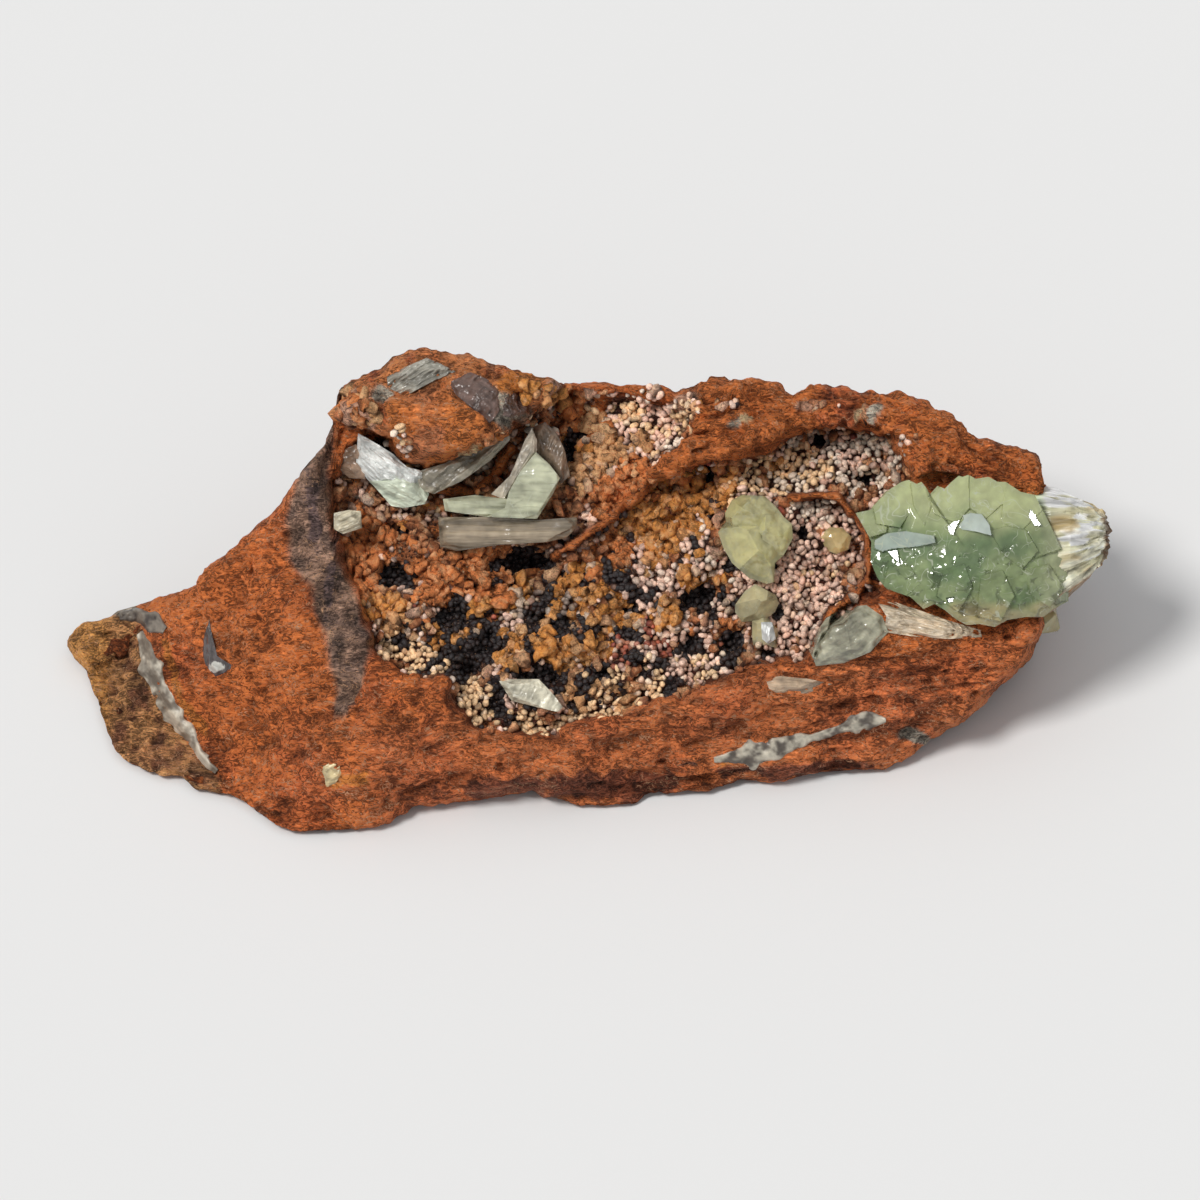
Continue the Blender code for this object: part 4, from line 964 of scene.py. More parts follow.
def outlineGrid(outline, middle, around, scales):
    # the outline, walked evenly with its corners kept, drawn in towards its middle by each scale
    corners = np.array(outline, float)
    closed = np.vstack([corners, corners[:1]])
    reach = np.concatenate([[0], np.cumsum(np.hypot(*np.diff(closed, axis=0).T))])
    at = np.unique(np.concatenate([np.linspace(0, reach[-1], around, endpoint=False), reach[:-1]]))
    edge = np.stack([np.interp(at, reach, closed[:, k]) for k in range(2)], axis=-1)
    return np.array(middle) + np.array(scales)[:, None, None] * (edge - np.array(middle))


def roofRise(u, v, lobe, seed):
    # the lowest of the table planes (rise at the middle, slope along u, slope along v) and of the
    # crown planes, which climb inwards from lines that touch the outline all round
    mu, mv = lobe["middle"]
    planes = [rise + su * (u - mu) + sv * (v - mv) for rise, su, sv in lobe["tables"]]
    count, slope = lobe.get("crown", (0, 0))
    luck = np.random.default_rng(seed)
    corners = np.array(lobe["outline"], float)
    for k in range(count):
        turn = (k + luck.uniform(-0.25, 0.25)) * 2 * math.pi / count
        out = np.array([math.cos(turn), math.sin(turn)])
        touch = (corners @ out).max()
        planes.append(lobe["edge"] + slope * luck.uniform(0.6, 1.5) * (touch - u * out[0] - v * out[1]))
    if "gem" in lobe:
        many, top, tilt = lobe["gem"]
        ru, rv = (corners.max(axis=0) - corners.min(axis=0)) * 0.58
        shape = (*(corners.max(axis=0) + corners.min(axis=0)) / 2, ru, rv, top - lobe["edge"], lobe["edge"])
        for _ in range(many):
            away, turn = math.sqrt(luck.uniform(0, 0.7)), luck.uniform(0, 2 * math.pi)
            su, sv = shape[0] + ru * away * math.cos(turn), shape[1] + rv * away * math.sin(turn)
            du, dv = domeSlope(su, sv, shape)
            du, dv = offMirror(du + luck.uniform(-tilt, tilt), dv + luck.uniform(-tilt, tilt))
            planes.append(domeRise(su, sv, shape) + du * (u - su) + dv * (v - sv))
    return np.min(planes, axis=0), np.argmin(planes, axis=0)


def lobePlace(lobe, seed, shrink=1.0):
    # side rings that widen up to the outline, then the roof, as (u, v, t)
    side = np.linspace(0, 1, 7)[:-1]
    foot, sink = lobe.get("foot", 0.82), lobe.get("sink", 2.0)
    fill = lobe.get("fill", 44)
    scales = np.concatenate([foot + (1 - foot) * side, np.linspace(1, 0.01, fill)]) * shrink
    share = np.concatenate([side, np.ones(fill)])[:, None]
    grid = outlineGrid(lobe["outline"], lobe["middle"], lobe.get("around", 170), scales)
    u, v = grid[..., 0], grid[..., 1]
    rise, which = roofRise(u, v, lobe, seed)
    top = rise - (1 - shrink) * lobe.get("skin", 2.2)
    t = lobe["t"] if "t" in lobe else (skinHeight(u, v) - v * cosLean) / sinLean
    # play paints each roof facet lighter or darker: painted shading of the facets
    facet = 1 + lobe.get("play", 0.12) * np.sin(which * 2.4 + seed) * (share > 0.99)
    return np.stack([u, v, t - sink + (top + sink) * share], axis=-1), share + 0 * u, facet


def fibreField(place, turn, length, width, seed=0):
    # noise drawn out along a direction in the picture plane
    c, s = math.cos(math.radians(turn)), math.sin(math.radians(turn))
    along = place[..., 0] * c + place[..., 1] * s
    across = place[..., 1] * c - place[..., 0] * s
    return layeredNoise(np.stack([along / length * width, across, place[..., 2]], axis=-1), width, 3, seed)


def joinSheets(name, sheets, material, tints=None, sharp=28):
    # several closed sheets in one piece, creased where faces meet at more than the sharp angle
    points, quads, fans, shades, start = [], [], [], [], 0
    for n, rings in enumerate(sheets):
        count, around = rings.shape[:2]
        points += [rings.reshape(-1, 3), rings[0].mean(axis=0)[None], rings[-1].mean(axis=0)[None]]
        i, j = np.meshgrid(np.arange(count - 1), np.arange(around), indexing="ij")
        k = (j + 1) % around
        quad = np.stack([i * around + j, i * around + k, (i + 1) * around + k, (i + 1) * around + j], axis=-1)
        j = np.arange(around)
        k = (j + 1) % around
        first, end = count * around, (count - 1) * around
        fan = np.concatenate([
            np.stack([np.full(around, first), k, j], axis=-1),
            np.stack([np.full(around, first + 1), end + j, end + k], axis=-1),
        ])
        quad, fan = quad.reshape(-1, 4), fan
        if signedVolume(np.concatenate(points[-3:]), [quad, fan]) < 0:
            quad, fan = quad[:, ::-1], fan[:, ::-1]
        quads.append(quad + start)
        fans.append(fan + start)
        start += first + 2
        if tints is not None:
            tint = tints[n]
            shades += [tint.reshape(-1, 3), tint[0].mean(axis=0)[None], tint[-1].mean(axis=0)[None]]
    tint = np.concatenate(shades) if tints is not None else None
    piece = addPiece(name, np.concatenate(points), [np.concatenate(quads), np.concatenate(fans)], material, tint)
    piece.data.set_sharp_from_angle(angle=math.radians(sharp))
    return piece


def clearMaterial(name, absorb, density, roughness, ior, transmission, turn, bump=0.2, cracks=0.5):
    # clear crystal: plain transmission and absorption, with fine growth lines as a bump; its
    # cloudy share shows the tint, paler along healed cracks
    material, tree, shader, output = newMaterial(name)
    tint = addNode(tree, "ShaderNodeAttribute", (-900, 300), attribute_name="tint").outputs["Color"]
    shader.inputs["IOR"].default_value = ior
    shader.inputs["Transmission Weight"].default_value = transmission
    where = addNode(tree, "ShaderNodeTexCoord", (-1200, 0)).outputs["Object"]
    turned = addNode(tree, "ShaderNodeMapping", (-1000, 0), {"Vector": where, "Rotation": turn}).outputs[0]
    lines = useGroup(tree, fibreLines, (-750, 0), {"Vector": turned, "Fineness": 1800.0, "Length": 0.15})
    healed = [useGroup(tree, healedCracks, (-750, 500 + 200 * k), {"Vector": where, "Size": size, "Width": width})["Lines"]
              for k, (size, width) in enumerate(((330.0, 0.013), (700.0, 0.016)))]
    pale = maths(tree, "MULTIPLY", maths(tree, "MAXIMUM", healed[0], healed[1], (-500, 500)), cracks, (-350, 500))
    cloud = addNode(tree, "ShaderNodeTexNoise", (-750, 950), {"Vector": where, "Scale": 900.0, "Detail": 4.0}).outputs["Fac"]
    shade = ramp(tree, cloud, 0.3, 0.7, (-500, 950), 0.86, 1.12)
    grey = addNode(tree, "ShaderNodeCombineColor", (-350, 950), {0: shade, 1: shade, 2: shade}).outputs[0]
    colour = colourMix(tree, 1.0, tint, grey, (-200, 700), "MULTIPLY")
    tree.links.new(colourMix(tree, pale, colour, (0.80, 0.84, 0.66, 1), (-100, 400)), shader.inputs["Base Color"])
    rough = ramp(tree, lines["Lines"], 0.2, 0.9, (-450, 100), roughness * 0.6, roughness * 1.8)
    tree.links.new(rough, shader.inputs["Roughness"])
    raised = addNode(tree, "ShaderNodeBump", (-300, -300), {
        "Height": lines["Height"], "Strength": bump, "Distance": 0.0002,
    }).outputs["Normal"]
    tree.links.new(raised, shader.inputs["Normal"])
    volume = addNode(tree, "ShaderNodeVolumeAbsorption", (0, -400), {"Color": (*absorb, 1), "Density": density})
    tree.links.new(volume.outputs[0], output.inputs["Volume"])
    return material


def silkyMaterial(name, turn, fineness, length, contrast, roughness, transmission, bump, specular=0.5):
    # fibrous or cleaved mineral: its tint runs lighter and darker along the fibres
    material, tree, shader, output = newMaterial(name)
    tint = addNode(tree, "ShaderNodeAttribute", (-900, 300), attribute_name="tint").outputs["Color"]
    where = addNode(tree, "ShaderNodeTexCoord", (-1200, 0)).outputs["Object"]
    turned = addNode(tree, "ShaderNodeMapping", (-1000, 0), {"Vector": where, "Rotation": turn}).outputs[0]
    lines = useGroup(tree, fibreLines, (-750, 0), {"Vector": turned, "Fineness": fineness, "Length": length})
    shade = ramp(tree, lines["Lines"], 0.0, 1.0, (-500, 150), 1 - contrast, 1 + 0.5 * contrast)
    grey = addNode(tree, "ShaderNodeCombineColor", (-350, 150), {0: shade, 1: shade, 2: shade}).outputs[0]
    tree.links.new(colourMix(tree, 1.0, tint, grey, (-200, 250), "MULTIPLY"), shader.inputs["Base Color"])
    tree.links.new(ramp(tree, lines["Lines"], 0.0, 1.0, (-500, -100), roughness * 1.4, roughness * 0.7),
                   shader.inputs["Roughness"])
    raised = addNode(tree, "ShaderNodeBump", (-300, -300), {
        "Height": lines["Height"], "Strength": bump, "Distance": 0.0003,
    }).outputs["Normal"]
    tree.links.new(raised, shader.inputs["Normal"])
    shader.inputs["Transmission Weight"].default_value = transmission
    shader.inputs["Specular IOR Level"].default_value = specular
    return material


def unit(*parts):
    return np.array(parts, float) / np.linalg.norm(parts)


keyLight = unit(-0.42, -0.30, 0.86)
cameraDirection = np.array([0, -cosLean, sinLean])


def mirrorSlopes():
    # slopes along u and v of the facet that throws the key light at the camera
    half = unit(*(keyLight + cameraDirection))
    facing = half @ cameraDirection
    return -half[0] / facing, -(half @ np.array([0, sinLean, cosLean])) / facing


glintU, glintV = mirrorSlopes()

cluster = dict(
    outline=[
        (25.5, 8.7), (27.0, 9.0), (27.4, 9.6), (28.5, 10.8), (30.1, 11.8), (30.8, 12.0), (31.6, 11.6),
        (32.1, 11.8), (32.5, 11.3), (32.7, 10.3), (33.7, 11.4), (34.2, 11.2), (34.4, 11.1), (35.1, 11.8),
        (35.8, 12.4), (36.2, 12.3), (36.8, 12.5), (37.5, 12.1), (38.8, 12.3), (39.7, 11.8), (40.5, 11.8),
        (41.4, 11.2), (42.0, 10.8), (43.4, 10.5), (44.9, 7.6), (46.2, 4.8), (46.8, 2.0), (46.8, -0.1),
        (45.3, -0.9), (44.3, -1.7), (42.5, -1.7), (40.7, -2.0), (39.4, -2.7), (37.9, -2.4), (36.6, -2.5),
        (35.5, -1.9), (34.4, -1.0), (33.4, -0.4), (32.3, -0.9), (31.0, 0.3), (28.6, 1.1), (27.7, 2.2),
        (27.0, 3.9), (27.1, 5.8),
    ],
    middle=(36.6, 5.0), t=20.7, sink=2.6, foot=0.78,
    dome=(36.8, 4.8, 11.8, 8.9, 4.4, 1.5),  # middle u, v, half width, half height, rise, rise at the rim
    # the blades' tone is painted shading of each blade
    blades=[  # flat crystals that overlap at the top and right: lift, share of the dome's slope, tone, outline
        (0.05, 0.40, 1.00, [(27.2, 9.4), (30.1, 12.2), (30.9, 12.4), (31.3, 9.4), (30.0, 7.2), (27.6, 7.6)]),
        (0.00, 0.35, 0.94, [(30.9, 12.4), (32.1, 12.2), (32.7, 11.2), (33.1, 9.4), (32.4, 7.4), (31.3, 9.4)]),
        (0.10, 0.45, 1.04, [(32.8, 10.2), (34.2, 11.6), (35.1, 12.2), (36.8, 13.0), (36.9, 9.2), (35.6, 7.6), (33.4, 8.6)]),
        (0.04, 0.50, 0.99, [(36.8, 13.0), (38.8, 12.8), (40.8, 12.4), (40.2, 9.6), (38.4, 8.0), (36.9, 9.2)]),
        (0.06, 0.50, 0.96, [(40.8, 12.4), (43.8, 11.0), (44.2, 9.0), (42.0, 6.8), (40.0, 7.8), (40.2, 9.6)]),
        (0.08, 0.60, 0.93, [(42.6, 7.4), (44.4, 9.4), (45.8, 7.6), (46.6, 5.2), (43.4, 4.2)]),
        (0.10, 0.35, 0.96, [(38.9, 6.9), (40.6, 7.4), (42.5, 7.0), (43.8, 4.9), (42.2, 3.1), (40.4, 4.4)]),
        (0.05, 0.30, 0.90, [(25.4, 8.9), (27.4, 9.4), (28.8, 8.0), (28.6, 6.7), (26.9, 6.2)]),
        (0.05, 0.50, 0.96, [(42.4, 3.0), (44.8, 3.6), (46.4, 1.2), (45.0, -0.8), (42.9, 0.6)]),
        (0.04, 0.60, 1.05, [(28.8, 3.4), (31.0, 3.4), (32.0, 1.6), (30.4, 0.3), (28.2, 1.4)]),
        (0.06, 0.40, 1.03, [(34.2, 3.0), (36.4, 3.6), (37.2, 1.2), (35.8, -1.2), (33.6, 0.4)]),
        (0.06, 0.40, 0.97, [(38.0, 2.4), (40.2, 3.0), (41.4, 0.4), (40.0, -2.2), (37.6, -1.6)]),
    ],
    # the mirrors' whiteness is a painted highlight mixed into the facet's tint
    mirrors=[  # facets that catch the light: lift, turn off the key light's mirror along u, along v, whiteness, outline
        (0.20, 0.02, 0.16, 0.62, [(27.4, 6.0), (28.6, 6.7), (30.5, 6.9), (33.4, 6.4), (33.5, 5.7), (31.6, 5.3), (29.3, 5.1),
                                  (28.2, 4.8), (27.4, 5.1)]),
        (0.28, 0.00, 0.06, 0.80, [(28.65, 4.9), (29.7, 5.0), (29.9, 3.7), (29.2, 4.2)]),
        (0.30, 0.00, 0.05, 0.85, [(34.68, 7.3), (35.3, 7.85), (35.9, 7.95), (35.4, 7.0), (35.3, 6.5), (34.9, 6.6)]),
        (0.35, 0.03, 0.11, 0.85, [(35.75, 7.35), (36.3, 8.05), (36.2, 8.45), (36.9, 8.7), (38.1, 8.6), (38.9, 7.5), (39.1, 6.4),
                                  (37.6, 6.8), (36.2, 7.0)]),
        (0.40, 0.00, 0.00, 0.95, [(43.0, 9.1), (43.5, 8.4), (43.6, 8.1), (44.15, 7.4), (43.35, 7.4), (42.8, 8.4)]),
        (0.10, 0.00, 0.04, 0.60, [(34.6, 0.2), (35.4, 0.3), (35.2, -0.2), (34.7, -0.3)]),
    ],
    spacing=1.7, tilt=0.13,
    around=520, fill=150,
)


def domeRise(u, v, shape):
    cu, cv, ru, rv, rise, rim = shape
    inside = np.clip(1 - ((u - cu) / ru) ** 2 - ((v - cv) / rv) ** 2, 0.02, 1)
    return rim + rise * np.sqrt(inside)


def domeSlope(u, v, shape):
    step = 0.05
    here = domeRise(u, v, shape)
    return (domeRise(u + step, v, shape) - here) / step, (domeRise(u, v + step, shape) - here) / step


def offMirror(du, dv):
    # slopes moved away from the ones that would throw the key light at the camera
    off = max(math.hypot(du - glintU, dv - glintV), 0.01)
    push = max(0.17 / off, 1.0)
    return glintU + (du - glintU) * push, glintV + (dv - glintV) * push


def clusterRoof(u, v):
    # the lowest of many planes that touch the dome, so facets meet in ridges; blades and mirror
    # facets stand on them inside their outlines; also each point's facet tone and whiteness
    c = cluster
    luck = np.random.default_rng(11)
    # tone is the painted shading of each facet and blade; white is the painted highlight of the mirror facets
    roof, tone, white = np.full(u.shape, 99.0), np.ones(u.shape), np.zeros(u.shape)
    for row, fv in enumerate(np.arange(-3.4, 13.4, c["spacing"] * 0.87)):
        for fu in np.arange(25.0, 48.5, c["spacing"]):
            su, sv = fu + (row % 2) * c["spacing"] / 2 + luck.uniform(-0.6, 0.6), fv + luck.uniform(-0.6, 0.6)
            cu, cv, ru, rv = c["dome"][:4]
            if ((su - cu) / ru) ** 2 + ((sv - cv) / rv) ** 2 > 0.86:
                continue
            du, dv = domeSlope(su, sv, c["dome"])
            du, dv = du + luck.uniform(-1, 1) * c["tilt"], dv + luck.uniform(-1, 1) * c["tilt"]
            du, dv = offMirror(du, dv)
            height = domeRise(su, sv, c["dome"]) + du * (u - su) + dv * (v - sv) + luck.uniform(0, 0.12)
            tone = np.where(height < roof, 1 + 0.06 * luck.uniform(-1, 1), tone)
            roof = np.minimum(roof, height)
    for lift, share, shade, outline in c["blades"]:
        points = np.array(outline)
        root = points[np.hypot(*(points - np.array(c["dome"][:2])).T).argmin()]
        du, dv = domeSlope(*points.mean(axis=0), c["dome"])
        du, dv = offMirror(share * du, share * dv)
        height = domeRise(*root, c["dome"]) + lift + du * (u - root[0]) + dv * (v - root[1])
        inside = (insideDistance(u, v, outline) > 0) & (height > roof)
        roof, tone = np.where(inside, height, roof), np.where(inside, shade, tone)
    for lift, du, dv, share, outline in c["mirrors"]:
        mu, mv = np.mean(outline, axis=0)
        height = domeRise(mu, mv, c["dome"]) + lift + (glintU + du) * (u - mu) + (glintV + dv) * (v - mv)
        edge = insideDistance(u, v, outline)
        roof, tone = np.where(edge > 0, height, roof), np.where(edge > 0, 1.0, tone)
        white = np.maximum(white, share * smooth(edge / 0.08 + 0.5))
    return roof, tone, white


def crazing(place, seed):
    # thin bright lines where two noises cross nought: healed cracks in the crystal
    lines = smooth((0.035 - np.abs(layeredNoise(place, 2.6, 2, seed))) / 0.03)
    finer = smooth((0.04 - np.abs(layeredNoise(place, 1.3, 2, seed + 3))) / 0.03)
    return np.maximum(lines, 0.7 * finer)


def clusterTint(place, veil):
    # pale olive above and darker green below, as painted light from above and painted shade below; paler along the
    # cracks
    upper = smooth((place[..., 1] - 6.2 + 1.4 * layeredNoise(place, 3.0, 2, 9)) / 3.4)
    right = smooth((place[..., 0] - 42.0 + 1.2 * valueNoise(place, 2.0, 4)) / 3.0)
    drift = smooth(0.5 + 0.9 * layeredNoise(place, 2.4, 3, 12))
    tint = mix(mix(paint(130, 154, 108), paint(168, 184, 132), drift), paint(216, 222, 168), upper)
    tint = mix(tint, paint(200, 206, 164), 0.7 * right)
    tint = mix(tint, paint(204, 190, 140), smooth((0.6 - place[..., 1]) / 2.2 - 0.2 + 0.5 * valueNoise(place, 1.2, 8)))
    tint = mix(tint, paint(226, 232, 192), 0.8 * veil * (1 - 0.6 * upper))
    return tint * (1 + 0.12 * layeredNoise(place, 0.8, 2, 2))[..., None]


def makeCluster():
    c = cluster
    side = np.linspace(0, 1, 10)[:-1]
    scales = np.concatenate([c["foot"] + (1 - c["foot"]) * side, np.linspace(1, 0.005, c["fill"])])
    share = np.concatenate([side, np.ones(c["fill"])])[:, None]
    grid = outlineGrid(c["outline"], c["middle"], c["around"], scales)
    u, v = grid[..., 0], grid[..., 1]
    roof, tone, white = clusterRoof(u, v)
    place = np.stack([u, v, c["t"] - c["sink"] + (roof + c["sink"]) * share], axis=-1)
    low = smooth((6.4 - v + 0.8 * layeredNoise(flat(u, v), 2.0, 2, 3)) / 3.0) * (white < 0.05) * share
    steps = smooth((cellNoise(flat(u * 0.8 + 0.4 * v, v * 1.1 - 0.4 * u, 2.0), 1.1, 7) - 0.64) / 0.16)
    place[..., 2] += low * (0.09 * layeredNoise(place, 1.0, 3, 5) - 0.12 * steps)
    place[..., 2] += 0.02 * (white < 0.05) * layeredNoise(place, 1.4, 2, 6) * share
    inner = np.stack([u, v, 0 * u], axis=-1)
    inner[..., :2] = np.array(c["middle"]) + (inner[..., :2] - np.array(c["middle"])) * 0.94
    below = np.minimum(domeRise(*np.moveaxis(inner[..., :2], -1, 0), c["dome"]), clusterRoof(inner[..., 0], inner[..., 1])[0])
    inner[..., 2] = c["t"] - c["sink"] + (below - 1.0 + c["sink"]) * share
    veil = crazing(inner, 4)
    skin = clearMaterial("greenAdamite", (0.68, 0.86, 0.56), 45.0, 0.09, 1.70, 0.5, (0.4, 0.2, 0.6), 0.04, 0.75)
    # facet tone is painted shading; dents of the lower part are painted darker as shade, and mirror facets white as
    # painted highlight
    tint = clusterTint(place, 0) * (tone + 0.10 * low * layeredNoise(place, 0.7, 2, 1))[..., None]
    tint = tint * (1 - 0.40 * low * steps)[..., None]
    tint = mix(tint, paint(228, 240, 240), white)
    piece = joinSheets("adamiteCluster", [fromView(place)], skin, [np.clip(tint, 0, 1)], 12)
    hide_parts("adamite_cluster")
    # the cloudy heart under the clear skin, crazed with healed cracks
    inner[..., 2] += (0.2 * veil + 0.2 * layeredNoise(inner, 1.4, 2, 7)) * share
    heart = silkyMaterial("cloudyAdamite", (0.4, 0.2, 0.6), 1400.0, 0.3, 0.3, 0.35, 0.0, 0.5)
    core = joinSheets("clusterHeart", [fromView(inner)], heart, [np.clip(clusterTint(inner, veil) * 1.15, 0, 1)], 60)
    print("adamite cluster:", len(piece.data.polygons), "faces")


brokenEnd = dict(
    # stations of the broken, fibrous end: u, v of its middle, half height, t of its middle, half depth
    stations=[
        (42.6, 4.8, 6.2, 21.0, 3.4), (45.0, 5.0, 5.9, 21.2, 3.9), (47.0, 5.4, 5.2, 21.2, 3.9), (48.8, 5.8, 4.2, 21.0, 3.3),
        (50.0, 6.05, 3.15, 20.8, 2.6), (50.6, 6.3, 2.1, 20.6, 1.8), (51.0, 6.4, 1.0, 20.5, 1.0),
    ],
    rows=170,
    around=360,
)


def makeBrokenEnd():
    # an ellipse carried along u; fibres ridge it, and it splinters towards the broken end
    table = np.array(brokenEnd["stations"])
    u = np.linspace(table[0, 0], table[-1, 0], brokenEnd["rows"])[:, None]
    v, half, t, deep = [np.interp(u, table[:, 0], table[:, k]) for k in (1, 2, 3, 4)]
    turn = (np.arange(brokenEnd["around"]) * 2 * math.pi / brokenEnd["around"])[None, :]
    cornered = 1 / np.maximum(np.abs(np.cos(turn)), np.abs(np.sin(turn))) ** 0.35
    fan = 1 + 0 * u * turn
    place = np.stack([u * fan, v + half * np.sin(turn) * cornered, t + deep * np.cos(turn) * cornered], axis=-1)
    share = (u - table[0, 0]) / (table[-1, 0] - table[0, 0])
    lines = np.stack([u * fan, (place[..., 1] - v) / (half + 1.5) * 6, (place[..., 2] - t) / (deep + 1.0) * 4], axis=-1)
    ridge = layeredNoise(lines * np.array([0.11, 1, 1]), 1.1, 3, 2)
    thread = layeredNoise(lines * np.array([0.14, 1, 1]), 0.34, 2, 5)
    chunk = np.floor(2.2 * valueNoise(lines * np.array([0.0, 1, 1]), 0.9, 3)) / 2.2
    out = np.stack([0 * fan, np.sin(turn) * fan, np.cos(turn) * fan], axis=-1)
    step = smooth((share - 0.55 - 0.45 * chunk) / 0.25)
    place = place + out * (0.50 * ridge + 0.14 * thread - 0.40 * step)[..., None]
    place[..., 0] += smooth((share - 0.6) / 0.4) * (0.5 * chunk + 0.25 * thread - 0.2)
    tint = mix(paint(214, 210, 176), paint(240, 236, 214), smooth(0.5 + 1.2 * ridge))
    tint = mix(tint, paint(255, 254, 250), smooth((place[..., 1] - 9.2 + 1.2 * thread) / 0.8))
    tint = mix(tint, paint(250, 248, 240), patchMask(place[..., 0], place[..., 1], (47.6, 6.6, 1.8, 0.9, -6), thread))
    tint = mix(tint, paint(250, 248, 240), patchMask(place[..., 0], place[..., 1], (48.2, 8.4, 0.9, 0.3, 5), thread))
    tint = mix(tint, paint(178, 156, 108), smooth(1.1 * layeredNoise(place * np.array([0.4, 1, 1]), 1.8, 3, 6) - 0.15))
    tint = mix(tint, paint(168, 186, 142), smooth((45.6 - place[..., 0]) / 2.5))
    tint = mix(tint, paint(112, 86, 62), smooth((share - 0.90) / 0.08 + 0.7 * thread) * fan)
    tint = mix(tint, paint(140, 108, 78), smooth((1.6 - place[..., 1] + 0.62 * (place[..., 0] - 46.5) + 0.7 * thread) / 0.9))
    tint = tint * (1.30 + 0.50 * thread + 0.25 * ridge)[..., None]
    material = silkyMaterial("splinteredAdamite", (0, 0, 0), 2400.0, 0.06, 0.5, 0.28, 0.15, 0.9)
    piece = joinSheets("brokenEnd", [fromView(place)], material, [np.clip(tint, 0, 1)], 40)
    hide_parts("adamite_cluster")


